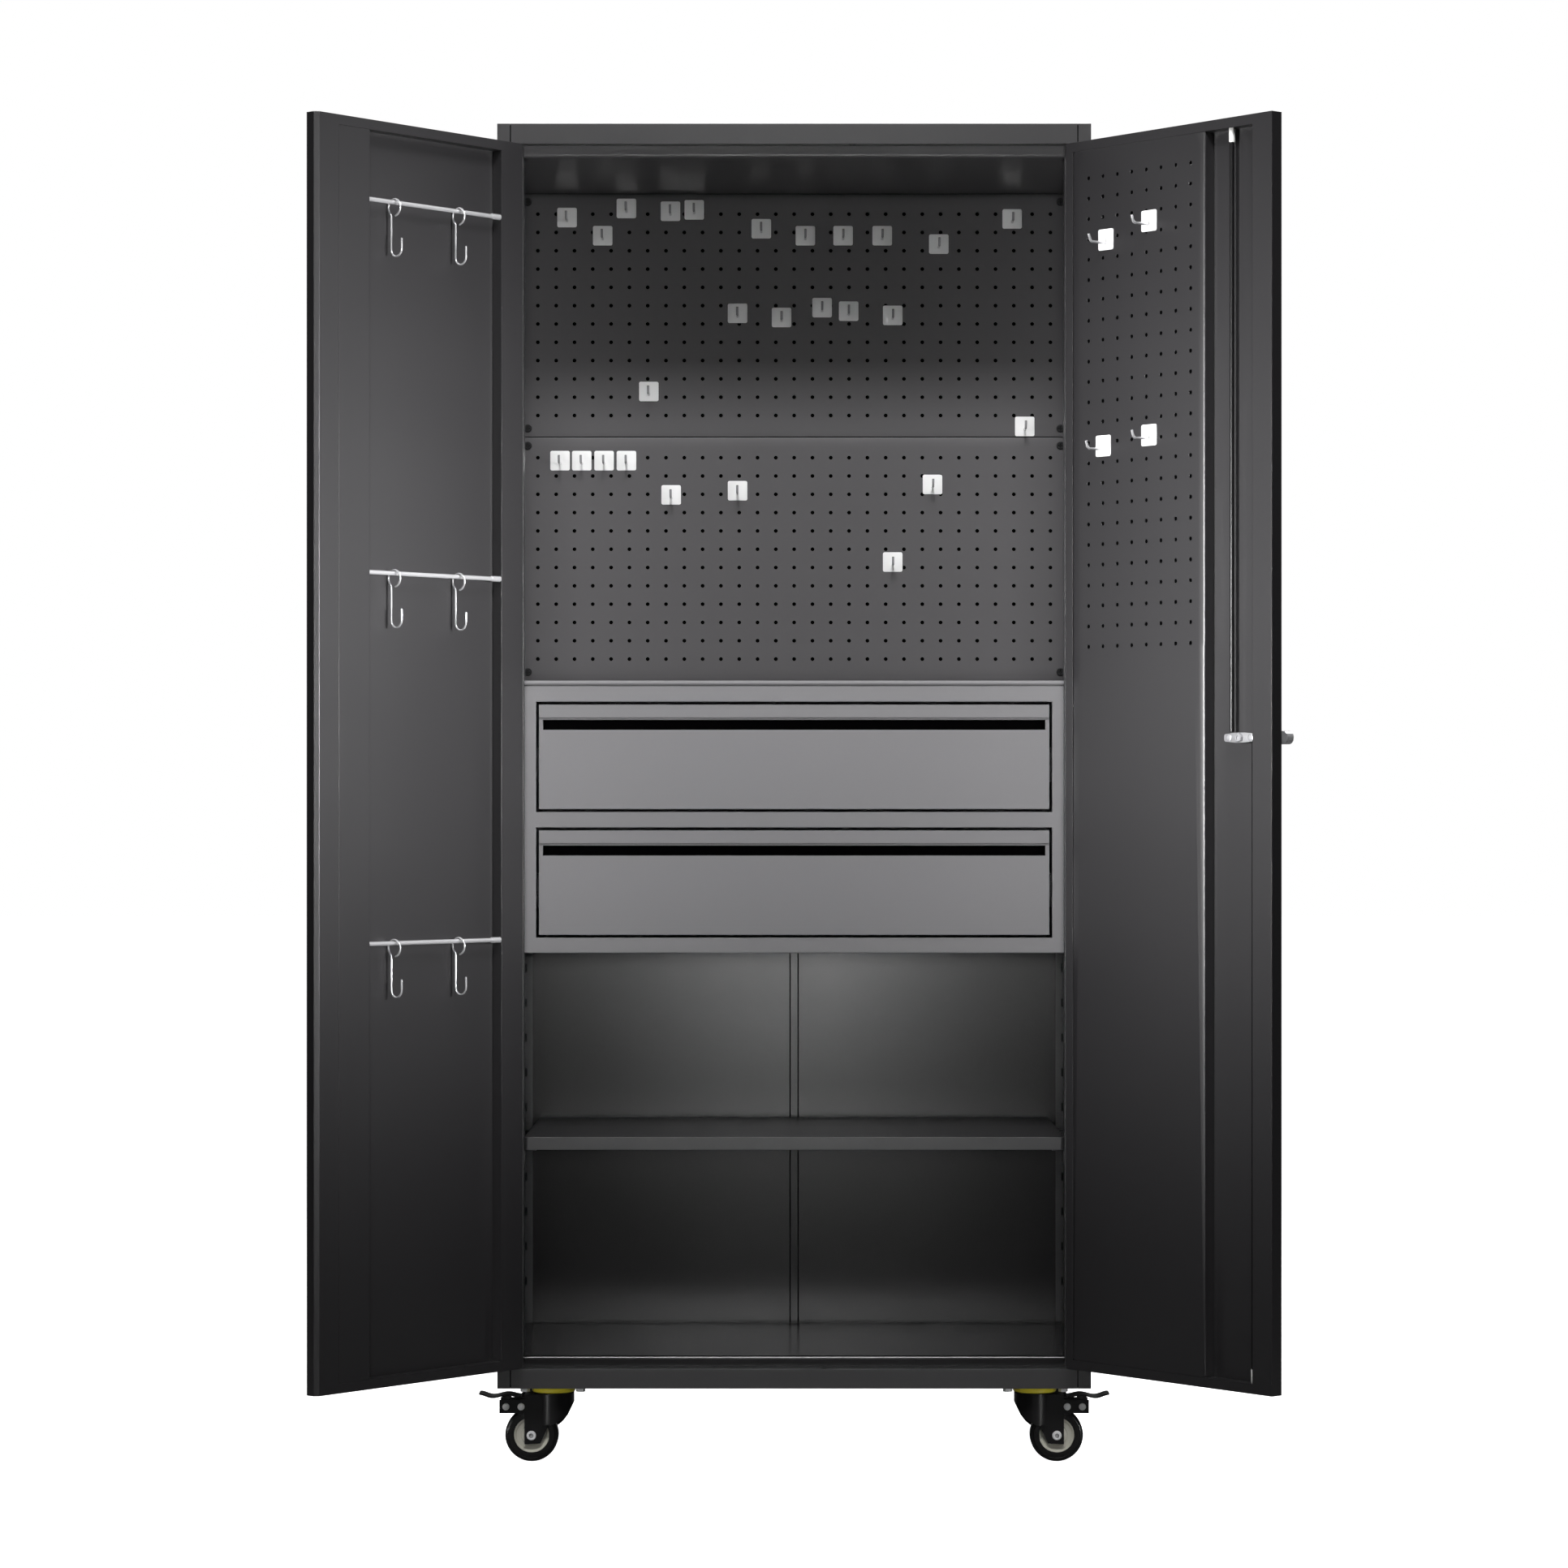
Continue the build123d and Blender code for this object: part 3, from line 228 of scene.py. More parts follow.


# seam is how far the painted crevice shade reaches
usualPaint = {"cloud": 0.08, "peel": 900.0, "bump": 0.2, "edge": 0.0005, "seam": 0.012}
paints = {
    "charcoal": {"colour": (0.016, 0.0152, 0.0166), "roughness": 0.33, "gloss": 0.9, "bump": 0.25,
                 "edge": 0.0008},
    "boardGrey": {"colour": (0.066, 0.0635, 0.067), "roughness": 0.45, "gloss": 0.4, "bump": 0.25},
    # painted shade: a darker copy of the charcoal paint for the back panels, back seam and floor pan in the
    # bays
    "bayShadeCharcoal": {"colour": (0.006, 0.0056, 0.0062), "roughness": 0.21, "gloss": 0.5, "cloud": 0.1},
    "drawerGrey": {"colour": (0.14, 0.138, 0.143), "roughness": 0.42, "gloss": 0.45, "cloud": 0.06,
                   "edge": 0.0008},
    "frameGrey": {"colour": (0.14, 0.138, 0.143), "roughness": 0.42, "gloss": 0.45, "cloud": 0.06,
                  "edge": 0.003},
    # painted light: a lighter copy of the charcoal paint for the ceiling
    "ceilingLitCharcoal": {"colour": (0.06, 0.058, 0.061), "roughness": 0.3, "gloss": 0.9, "edge": 0.004},
    "forkBlack": {"colour": (0.005, 0.0047, 0.0052), "roughness": 0.3, "gloss": 0.3, "cloud": 0.05,
                  "peel": 700.0, "bump": 0.1},
    "hookWhite": {"colour": (0.8, 0.8, 0.8), "roughness": 0.3, "gloss": 0.5, "cloud": 0.03, "bump": 0.1,
                  "edge": 0.0},
    # painted shade: flat black for sheets put where there is only shade
    "shadeBlack": {"colour": (0.002, 0.002, 0.0022), "roughness": 0.9, "gloss": 0.0, "cloud": 0.05,
                   "bump": 0.1, "edge": 0.0},
    "screwBlack": {"colour": (0.008, 0.008, 0.009), "roughness": 0.45, "gloss": 0.3, "cloud": 0.05,
                   "bump": 0.1, "edge": 0.0003},
}
# seam is how far the painted crevice shade reaches
usualFinish = {"amount": 0.1, "scale": 220.0, "metallic": 0.0, "bump": 0.1, "gloss": 0.5, "seam": 0.006}
finishes = {
    "chrome": {"colour": (0.9, 0.9, 0.92), "roughness": 0.2, "metallic": 0.7, "amount": 0.08,
               "scale": 180.0, "bump": 0.05},
    "slideZinc": {"colour": (0.5, 0.5, 0.52), "roughness": 0.38, "metallic": 0.8, "amount": 0.15,
                  "seam": 0.03},
    "zinc": {"colour": (0.68, 0.68, 0.7), "roughness": 0.3, "metallic": 0.8, "amount": 0.15},
    "tyreBlack": {"colour": (0.003, 0.0028, 0.003), "roughness": 0.22, "scale": 400.0, "gloss": 0.6},
    "hubGrey": {"colour": (0.46, 0.45, 0.385), "roughness": 0.4, "scale": 150.0},
    "ringYellow": {"colour": (0.9, 0.78, 0.05), "roughness": 0.35, "scale": 150.0, "seam": 0.001},
    "tipWhite": {"colour": (0.8, 0.8, 0.78), "roughness": 0.35, "scale": 200.0, "bump": 0.05},
    "boltSilver": {"colour": (0.78, 0.78, 0.79), "roughness": 0.35, "metallic": 0.25},
}
material = {name: powderMaterial(name, {**usualPaint, **look}) for name, look in paints.items()}
material.update({name: rubbedMaterial(name, {**usualFinish, **look}) for name, look in finishes.items()})
print("materials made,", len(material))


def paintNode(node, name):
    slots = nodes[node].data.materials
    slots.clear()
    slots.append(material[name])


coats = {
    "drawerGrey": ("counter", "upper_drawer_front", "lower_drawer_front", "upper_drawer_tray",
                   "lower_drawer_tray"),
    "frameGrey": ("drawer_case", "drawer_face_frame"),
    # painted light on the ceiling
    "ceilingLitCharcoal": ("ceiling",),
    # painted shade on the bays' back and floor
    "bayShadeCharcoal": ("back_left", "back_right", "back_seam", "floor_pan"),
    "slideZinc": ("slide_channels", "upper_slide_runners", "lower_slide_runners"),
    "zinc": ("caster_plates",),
    "boltSilver": ("caster_bolts",),
    "chrome": ("hanging_rods", "lock_handle", "lock_rose"),
    "forkBlack": ["fork_" + casterName for casterName in casterNames],
}
for nodeName in nodes:
    paintNode(nodeName, "charcoal")
for matName, nodeNames in coats.items():
    for nodeName in nodeNames:
        paintNode(nodeName, matName)
print("nodes painted")


# Mesh helpers

def finishPiece(bm, name, body, matNames, replaced=(), transform=None, smooth=35):
    if transform is not None:
        bm.transform(transform)
    bm.transform(toRow)
    mesh = bpy.data.meshes.new(name)
    bm.to_mesh(mesh)
    bm.free()
    for matName in matNames:
        mesh.materials.append(material[matName])
    piece = bpy.data.objects.new(name, mesh)
    bpy.context.scene.collection.objects.link(piece)
    if smooth:
        mesh.shade_smooth()
        mesh.set_sharp_from_angle(angle=radians(smooth))
    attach(piece, body)
    if replaced:
        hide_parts(*replaced)


def newVerts(result):
    return [item for item in result["geom"] if isinstance(item, bmesh.types.BMVert)]


def newFaces(result):
    return [item for item in result["geom"] if isinstance(item, bmesh.types.BMFace)]


def newEdges(result):
    return [item for item in result["geom"] if isinstance(item, bmesh.types.BMEdge)]


def softenEdges(bm, edges, offset, segments=2):
    bmesh.ops.bevel(bm, geom=list(edges), offset=offset, offset_type="OFFSET", segments=segments, profile=0.5,
                    affect="EDGES", material=-1, clamp_overlap=True)


def addPlate(bm, corners, normal, thickness, edge=0.0):
    face = bm.faces.new([bm.verts.new(corner) for corner in corners])
    face.normal_update()
    if face.normal.dot(normal) > 0:
        face.normal_flip()
    pushed = bmesh.ops.extrude_face_region(bm, geom=[face])
    bmesh.ops.translate(bm, verts=newVerts(pushed), vec=Vector(normal) * thickness)
    if edge:
        faces = set(newFaces(pushed)) | {face}
        for item in list(faces):
            faces |= {linked for edgeItem in item.edges for linked in edgeItem.link_faces}
        rims = {edgeItem for item in faces for edgeItem in item.edges if edgeItem.calc_face_angle(0) > 0.5}
        softenEdges(bm, rims, edge)


def roundCorners(bm, verts, offset, segments):
    bmesh.ops.bevel(bm, geom=verts, offset=offset, segments=segments, profile=0.5, affect="VERTICES",
                    material=-1)


def uprightSheet(lowX, highX, lowZ, highZ, y):  # the corners of a plate that faces front or back
    return [(lowX, y, lowZ), (highX, y, lowZ), (highX, y, highZ), (lowX, y, highZ)]


def addLathe(bm, profile, centre, axis, steps, matIndex=0):
    # profile is (radius, distance along the axis); the start lies in any plane through the axis
    axis = Vector(axis).normalized()
    side = axis.orthogonal().normalized()
    verts = [bm.verts.new(Vector(centre) + side * radius + axis * far) for radius, far in profile]
    edges = [bm.edges.new(pair) for pair in zip(verts, verts[1:])]
    before = set(bm.faces)
    bmesh.ops.spin(bm, geom=verts + edges, cent=centre, axis=axis, angle=2 * pi, steps=steps, use_merge=True)
    made = [face for face in bm.faces if face not in before]
    for face in made:
        face.material_index = matIndex
    spun = {vert for face in made for vert in face.verts}
    bmesh.ops.remove_doubles(bm, verts=list(spun), dist=0.0005)
    made = [face for face in made if face.is_valid]
    bmesh.ops.recalc_face_normals(bm, faces=made)


def addWire(bm, start, heading, normal, radius, moves, matIndex=0, sides=10):
    # moves are ("run", length) or ("bend", degrees, radius); all bends lie in the plane across normal
    heading, normal = Vector(heading).normalized(), Vector(normal).normalized()
    place = Matrix.Translation(start) @ heading.to_track_quat("Z", "Y").to_matrix().to_4x4()
    ring = bmesh.ops.create_circle(bm, segments=sides, radius=radius, cap_ends=True, matrix=place)
    first = set(ring["verts"])
    before = set(bm.faces) - {face for vert in first for face in vert.link_faces}
    edges = [edge for edge in bm.edges if edge.verts[0] in first and edge.verts[1] in first]
    here = Vector(start)
    for move in moves:
        if move[0] == "run":
            pushed = bmesh.ops.extrude_edge_only(bm, edges=edges)
            bmesh.ops.translate(bm, verts=newVerts(pushed), vec=heading * move[1])
            here = here + heading * move[1]
            ends = set(newVerts(pushed))
        else:
            angle = radians(move[1])
            toCentre = normal.cross(heading) * (1 if angle > 0 else -1)
            centre = here + toCentre * move[2]
            steps = max(2, int(abs(move[1]) / 15))
            spun = bmesh.ops.spin(bm, geom=edges, cent=centre, axis=normal, angle=angle, steps=steps)
            turn = Matrix.Rotation(angle, 3, normal)
            here = centre + turn @ (here - centre)
            heading = turn @ heading
            ends = {item for item in spun["geom_last"] if isinstance(item, bmesh.types.BMVert)}
        edges = [edge for edge in bm.edges if edge.verts[0] in ends and edge.verts[1] in ends]
    bmesh.ops.contextual_create(bm, geom=edges)
    made = [face for face in bm.faces if face not in before]
    for face in made:
        face.material_index = matIndex
    bmesh.ops.recalc_face_normals(bm, faces=made)


# Perforated sheets

perforation = {"holeSides": 16, "weld": 0.01, "near": 0.1, "bendSteps": 3}


def perforatedSheet(sheet):
    # one cell with a round hole, repeated, then grown to the sheet's limits and turned back at its edges
    bm = bmesh.new()
    pitch, cell = sheet["pitch"], sheet["pitch"] / 2
    bmesh.ops.create_circle(bm, segments=4, radius=cell * 2 ** 0.5, matrix=Matrix.Rotation(pi / 4, 4, "Z"))
    bmesh.ops.subdivide_edges(bm, edges=list(bm.edges), cuts=perforation["holeSides"] // 4 - 1)
    bmesh.ops.create_circle(bm, segments=perforation["holeSides"], radius=sheet["hole"] / 2)
    bmesh.ops.bridge_loops(bm, edges=list(bm.edges))
    first = Matrix.Translation((sheet["firstX"], sheet["faceY"], sheet["firstZ"]))
    bmesh.ops.transform(bm, matrix=first @ Matrix.Rotation(pi / 2, 4, "X"), verts=list(bm.verts))
    for count, step in ((sheet["columns"], Vector((pitch, 0, 0))), (sheet["rows"], Vector((0, 0, -pitch)))):
        whole = list(bm.verts) + list(bm.edges) + list(bm.faces)
        for number in range(1, count):
            copied = bmesh.ops.duplicate(bm, geom=whole)
            bmesh.ops.translate(bm, verts=newVerts(copied), vec=step * number)
    bmesh.ops.remove_doubles(bm, verts=list(bm.verts), dist=perforation["weld"])
    lowX, highX = sheet["firstX"] - cell, sheet["firstX"] - cell + sheet["columns"] * pitch
    highZ, lowZ = sheet["firstZ"] + cell, sheet["firstZ"] + cell - sheet["rows"] * pitch
    limits = ((0, lowX, "lowX"), (0, highX, "highX"), (2, lowZ, "lowZ"), (2, highZ, "highZ"))
    near = perforation["near"]
    rim = [edge for edge in bm.edges if edge.is_boundary and any(
        all(abs(vert.co[index] - limit) < near for vert in edge.verts) for index, limit, label in limits)]
    pushed = bmesh.ops.extrude_edge_only(bm, edges=rim)
    for vert in newVerts(pushed):
        for index, limit, label in limits:
            if abs(vert.co[index] - limit) < near:
                vert.co[index] = sheet[label]
    border = [edge for edge in newEdges(pushed) if edge.is_boundary]
    turned = bmesh.ops.extrude_edge_only(bm, edges=[edge for edge in border if sheet["turns"](edge)])
    bmesh.ops.translate(bm, verts=newVerts(turned), vec=(0, sheet["turnDepth"], 0))
    bends = [edge for edge in border if len(edge.link_faces) == 2]
    softenEdges(bm, bends, sheet["bendRadius"], perforation["bendSteps"])
    bmesh.ops.recalc_face_normals(bm, faces=list(bm.faces))
    if max(bm.faces, key=lambda face: face.calc_area()).normal.dot(sheet["front"]) < 0:
        bmesh.ops.reverse_faces(bm, faces=list(bm.faces))
    bmesh.ops.solidify(bm, geom=list(bm.faces), thickness=sheet["gauge"])
    return bm


def addShadeBehindHoles(name, body, corners, outward, transform=None):  # painted shade: a black sheet for the dark space behind the holes
    bm = bmesh.new()
    addPlate(bm, corners, Vector((0, outward, 0)), shadeSheet["gauge"])
    finishPiece(bm, name, body, ["shadeBlack"], transform=transform, smooth=0)


def onDoorSides(edge):  # whether an edge lies on the upright sides of the door panel
    return all(min(abs(vert.co.x - doorSheet[label]) for label in ("lowX", "highX")) < perforation["near"]
               for vert in edge.verts)


# black sheets of painted shade behind the holes
shadeSheet = {"gauge": 0.3, "inset": 2.0, "boardY": 381.7, "door": (122, 365, 1085, 1745, 16.3)}
boards = {"tops": {"upper": 1765.0, "lower": 1416.4}, "height": 348.0, "firstHole": 29.0}
boardSheet = {"pitch": 26.2, "hole": 5.5, "columns": 29, "rows": 12, "firstX": -366.8,
              "faceY": cabinet["boardDepth"], "lowX": -397.0, "highX": 397.0, "gauge": 1.0,
              "turnDepth": 11.0, "bendRadius": 1.2, "front": Vector((0, -1, 0)), "turns": lambda edge: True}
for boardName, top in boards["tops"].items():
    base = top - boards["height"]
    sheet = dict(boardSheet, firstZ=top - boards["firstHole"], highZ=top, lowZ=base)
    finishPiece(perforatedSheet(sheet), boardName + "PegSheet", "carcass", ["boardGrey"],
                ["pegboard_" + boardName])
    # painted shade behind the board's holes
    inset = shadeSheet["inset"]
    lowX, highX = sheet["lowX"] + inset, sheet["highX"] - inset
    corners = uprightSheet(lowX, highX, base + inset, top - inset, shadeSheet["boardY"])
    addShadeBehindHoles(boardName + "HoleShade", "carcass", corners, -1)
print("pegboards perforated")

doorSheet = {"pitch": 27.2, "hole": 5.5, "columns": 8, "rows": 24, "fromOuter": 43.4, "firstZ": 1727.0,
             "faceY": cabinet["doorThickness"], "lowX": 120.0, "highX": 366.6, "lowZ": 146.8, "highZ": 1764.7,
             "gauge": 1.0, "turnDepth": -16.5, "bendRadius": 2.5, "front": Vector((0, 1, 0)),
             "turns": onDoorSides}
lastX = cabinet["doorOuter"] - doorSheet["fromOuter"]
doorSheet["firstX"] = lastX - (doorSheet["columns"] - 1) * doorSheet["pitch"]
finishPiece(perforatedSheet(doorSheet), "doorPegSheet", "right_door", ["charcoal"],
            ["right_door_panel"], swung(1))
# painted shade behind the door panel's holes
addShadeBehindHoles("doorHoleShade", "right_door", uprightSheet(*shadeSheet["door"]), 1, swung(1))
print("door panel perforated")


# Painted shade in gaps and joints

seamShadeStrip = {"width": 1.6, "lift": 0.02, "gauge": 0.2, "top": 1060}
bm = bmesh.new()
low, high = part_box("back_seam")
panelY = high[1] / mm - cabinet["frontY"] - seamShadeStrip["lift"]
for side in (-1, 1):  # painted shade: a black strip in the gap on each side of the back's centre seam
    near, far = side * high[0] / mm, side * (high[0] / mm + seamShadeStrip["width"])
    corners = uprightSheet(near, far, low[2] / mm, seamShadeStrip["top"], panelY)
    addPlate(bm, corners, Vector((0, -1, 0)), seamShadeStrip["gauge"])
finishPiece(bm, "backSeamShade", "carcass", ["shadeBlack"], smooth=0)

jointShade = {"x": 382.9, "width": 1.5, "y": 0.2, "gauge": 0.25, "levels": ((106.0, 130.5), (1782.0, 1806.0))}
bm = bmesh.new()
for side in (-1, 1):  # painted shade: a black strip over the joints between the corner posts and the rails
    near, far = side * jointShade["x"], side * (jointShade["x"] - jointShade["width"])
    for low, high in jointShade["levels"]:
        corners = uprightSheet(near, far, low, high, jointShade["y"])
        addPlate(bm, corners, Vector((0, -1, 0)), jointShade["gauge"])
finishPiece(bm, "railJointShade", "carcass", ["shadeBlack"], smooth=0)
print("seam and joints marked")


# Plate hooks on the boards

pegHook = {"plate": 28.0, "gauge": 1.2, "corner": 2.5, "edge": 0.3, "wire": 3.4, "reach": 30.0, "tip": 12.0,
           "bend": 72, "bendRadius": 5.0,
           "boardSpots": (
               (-325, 1731), (-274, 1705), (-240, 1744), (-177, 1740), (-143, 1742), (-47, 1715), (16, 1705),
               (70, 1705), (126, 1705), (207, 1693), (312, 1729), (-81, 1594), (-18, 1588), (40, 1602),
               (78, 1597), (141, 1591), (-208, 1482), (330, 1432), (-335, 1383), (-304, 1383), (-272, 1383),
               (-240, 1383), (-176, 1334), (-81, 1340), (141, 1238), (198, 1349)),
           "doorSpots": ((77, 1642), (158, 1659), (72, 1368), (158, 1377))}


def addPegHook(bm, x, faceY, z, outward):  # outward is -1 for the boards and +1 for the closed door
    gauge, bendRadius = pegHook["gauge"], pegHook["bendRadius"]
    before = set(bm.verts)
    square = bmesh.ops.create_grid(bm, x_segments=1, y_segments=1, size=pegHook["plate"] / 2)["verts"]
    roundCorners(bm, square, pegHook["corner"], 3)
    made = [vert for vert in bm.verts if vert not in before]
    upright = Matrix.Translation((x, faceY, z)) @ Matrix.Rotation(pi / 2, 4, "X")
    bmesh.ops.transform(bm, matrix=upright, verts=made)
    pushed = bmesh.ops.extrude_face_region(bm, geom=[made[0].link_faces[0]])
    bmesh.ops.translate(bm, verts=newVerts(pushed), vec=(0, outward * gauge, 0))
    softenEdges(bm, {edge for item in newFaces(pushed) for edge in item.edges}, pegHook["edge"])
    made = [item for item in bm.faces if any(vert not in before for vert in item.verts)]
    bmesh.ops.recalc_face_normals(bm, faces=made)
    moves = [("run", pegHook["reach"] - bendRadius), ("bend", outward * pegHook["bend"], bendRadius),
             ("run", pegHook["tip"] - bendRadius)]
    root = (x, faceY + outward * gauge / 2, z - pegHook["plate"] / 6)
    addWire(bm, root, (0, outward, 0), (1, 0, 0), pegHook["wire"] / 2, moves, 1)


bm = bmesh.new()
for x, z in pegHook["boardSpots"]:
    addPegHook(bm, x, cabinet["boardDepth"], z, -1)
finishPiece(bm, "boardPegHooks", "carcass", ["hookWhite", "chrome"], ["peg_hooks"])
bm = bmesh.new()
for place, z in pegHook["doorSpots"]:
    addPegHook(bm, cabinet["doorOuter"] - place, cabinet["doorThickness"], z, 1)
finishPiece(bm, "doorPegHooks", "right_door", ["hookWhite", "chrome"], ["door_peg_hooks"],
            swung(1))
print("plate hooks hung")


# Hanging hooks

hangHook = {"places": (117.0, 236.0), "levels": {"top": 1675.5, "middle": 1192.0, "bottom": 710.0},
            "wire": 2.6, "ring": 19.5, "lip": 80, "leave": 52, "knee": 3.0, "drop": 70.0, "mouth": 16.5,
            "tip": 14.0, "rodInset": 4.0, "rod": 6.0, "lift": 0.3}


def addHangHook(bm, x, level):  # a nearly closed ring over the rod, a shank and a J
    wire, knee, leave = hangHook["wire"] / 2, hangHook["knee"], hangHook["leave"]
    middle = hangHook["ring"] / 2 + wire
    mouth = hangHook["mouth"] / 2 + wire
    y = cabinet["doorThickness"] - hangHook["rodInset"]
    loopZ = level + hangHook["rod"] / 2 + wire - middle + hangHook["lift"]
    footZ = level - hangHook["drop"] + mouth
    lip = radians(-hangHook["lip"])
    start = Vector((x, y + middle * cos(lip), loopZ + middle * sin(lip)))
    heading = Vector((0, -sin(lip), cos(lip)))
    turnEnd = radians(180 + leave)  # where the shank leaves the ring
    kneeZ = loopZ + middle * sin(turnEnd) - knee * cos(turnEnd - pi)
    moves = [("bend", hangHook["lip"] + 180 + leave, middle), ("bend", -leave, knee), ("run", kneeZ - footZ),
             ("bend", 180, mouth), ("run", hangHook["tip"])]
    addWire(bm, start, heading, (1, 0, 0), wire, moves)


for rodName, level in hangHook["levels"].items():
    bm = bmesh.new()
    for place in hangHook["places"]:
        addHangHook(bm, -(cabinet["doorOuter"] - place), level)
    finishPiece(bm, rodName + "HangHooks", "hooks_" + rodName, ["chrome"],
                ["hanging_hooks_" + rodName], swung(-1), 60)
print("hanging hooks bent")


# Casters

caster = {"trail": 29.5, "wheelZ": 36.0, "swivelX": 326.5, "depths": {"front": 52.0, "rear": 372.0},
          "cheek": 15.6}
tyreBead = [(24.0, -11.0), (24.6, -11.6), (29.0, -11.6), (30.9, -11.3), (31.6, -11.9), (32.4, -11.5)]
treadProfile = [(31.6 + 4.4 * cos(radians(angle)), -7.6 + 4.2 * sin(radians(angle)))
                for angle in range(-70, 1, 14)]
tyreProfile = tyreBead + treadProfile
hubProfile = [(4.3, -13.0), (9.4, -13.0), (10.0, -12.4), (10.4, -10.2), (14.0, -9.5), (14.5, -9.9),
              (15.2, -9.9), (15.7, -9.5), (20.6, -9.5), (21.4, -10.6), (23.2, -11.2), (23.9, -10.8)]
axle = {"radius": 3.9, "head": 6.4, "headHeight": 4.0, "socket": 3.0}
rivet = {"places": (43.5, 64.0), "z": 75.0, "radius": 4.8, "shoulder": 2.3, "height": 3.3}
pedal = {"width": 34.0, "gauge": 2.0, "z": 87.0, "wave": 3.0, "corner": 5, "edge": 0.5,
         "earY": 12.9, "earHalf": 6, "earBase": 69, "earLap": 1.5}
dustRing = {"radius": 29.5, "low": 94.0, "high": 101.0}


def mirrored(profile):  # the other face of a wheel's section, back to the start
    return profile + [(radius, -far) for radius, far in reversed(profile)]


def casterPlace(name):
    end, sideName = name.split("_")
    side = -1 if sideName == "left" else 1
    place = Matrix.Translation((side * caster["swivelX"], caster["depths"][end], 0))
    return place @ Matrix.Rotation(pi if side < 0 else 0, 4, "Z")


def addCap(bm, centre, axis, cap):  # a domed head on a flat face
    radius, shoulder, height = cap["radius"], cap["shoulder"], cap["height"]
    dome = [(radius, 0), (radius, shoulder)]
    for angle in range(15, 90, 15):
        dome.append((radius * cos(radians(angle)), shoulder + (height - shoulder) * sin(radians(angle))))
    addLathe(bm, dome + [(0.01, height)], centre, axis, 20)


def addSocketHead(bm, centre, axis, radius, height, socket):
    profile = [(radius, 0), (radius, height * 0.7), (radius - height * 0.25, height), (socket, height),
               (socket, height * 0.4), (0.01, height * 0.35)]
    addLathe(bm, profile, centre, axis, 24)


def smoothWave(points, steps):  # a rounded line through the points
    line = []
    for index in range(len(points) - 1):
        (x0, z0), (x1, z1) = points[index], points[index + 1]
        for step in range(steps):
            share = step / steps
            line.append((x0 + (x1 - x0) * share, z0 + (z1 - z0) * (0.5 - 0.5 * cos(pi * share))))
    return line + [points[-1]]


def addPedal(bm):
    pivot, gauge, half = rivet["places"][1], pedal["gauge"], pedal["width"] / 2
    low, high = pedal["z"], pedal["z"] + pedal["wave"]
    crests = [(pivot - 20, low), (pivot - 2, high), (pivot + 18, low - 0.5), (pivot + 37, high + 1)]
    line = smoothWave(crests, 6)
    rows = [[bm.verts.new((x, y, z)) for x, z in line] for y in (-half, half)]
    for step in range(len(line) - 1):
        bm.faces.new((rows[0][step], rows[0][step + 1], rows[1][step + 1], rows[1][step]))
    bmesh.ops.recalc_face_normals(bm, faces=list(bm.faces))
    corners = [row[index] for row in rows for index in (0, -1)]
    roundCorners(bm, corners, pedal["corner"], 4)
    bmesh.ops.solidify(bm, geom=list(bm.faces), thickness=-gauge)
    bmesh.ops.recalc_face_normals(bm, faces=list(bm.faces))
    near, far = pivot - pedal["earHalf"], pivot + pedal["earHalf"]
    for side in (-1, 1):  # the ears on the pivot rivet
        ear = uprightSheet(near, far, pedal["earBase"], low + pedal["earLap"], side * pedal["earY"])
        addPlate(bm, ear, Vector((0, -side, 0)), gauge, pedal["edge"])


for casterName in casterNames:
    place = casterPlace(casterName)
    centre = (caster["trail"], 0, caster["wheelZ"])
    bm = bmesh.new()
    addLathe(bm, mirrored(tyreProfile) + [tyreProfile[0]], centre, (0, 1, 0), 72, 0)
    addLathe(bm, mirrored(hubProfile) + [hubProfile[0]], centre, (0, 1, 0), 64, 1)
    finishPiece(bm, casterName + "Wheel", "wheel_" + casterName, ["tyreBlack", "hubGrey"],
                ["wheel_" + casterName], place)
    bm = bmesh.new()
    shaft = [(axle["radius"], -caster["cheek"]), (axle["radius"], caster["cheek"])]
    addLathe(bm, shaft, centre, (0, 1, 0), 24)
    for side in (-1, 1):
        cheek = (caster["trail"], side * caster["cheek"], caster["wheelZ"])
        addSocketHead(bm, cheek, (0, side, 0), axle["head"], axle["headHeight"], axle["socket"])
    finishPiece(bm, casterName + "Axle", "swivel_" + casterName, ["boltSilver"],
                ["axle_" + casterName], place)
    if "front" in casterName:
        bm = bmesh.new()
        for x in rivet["places"]:
            for side in (-1, 1):
                addCap(bm, (x, side * caster["cheek"], rivet["z"]), (0, side, 0), rivet)
        finishPiece(bm, casterName + "Rivets", "swivel_" + casterName, ["boltSilver"],
                    transform=place)
        bm = bmesh.new()
        addPedal(bm)
        finishPiece(bm, casterName + "Pedal", "brake_" + casterName, ["forkBlack"],
                    ["brake_pedal_" + casterName], place)
bm = bmesh.new()
low, high, radius = dustRing["low"], dustRing["high"], dustRing["radius"]
ringProfile = [(0.01, low), (radius - 3, low), (radius - 1, low + 0.6), (radius, low + 2),
               (radius, high - 1.5), (radius - 1, high), (0.01, high)]
for casterName in casterNames:
    x, y = casterPlace(casterName).translation.xy
    addLathe(bm, ringProfile, (x, y, 0), (0, 0, 1), 48)
finishPiece(bm, "dustRings", "carcass", ["ringYellow"], ["caster_races"])
print("casters built")


# Board screws, lock rods and lock cam

boardScrew = {"x": 381.0, "levels": (1753.0, 1429.0, 1404.4, 1080.4), "height": 2.9, "flat": 4.4,
              "cross": 3.2, "slot": 0.75, "depth": 1.6, "fall": ((1.08, 0.35), (1.17, 0.9), (1.0, 1.65))}


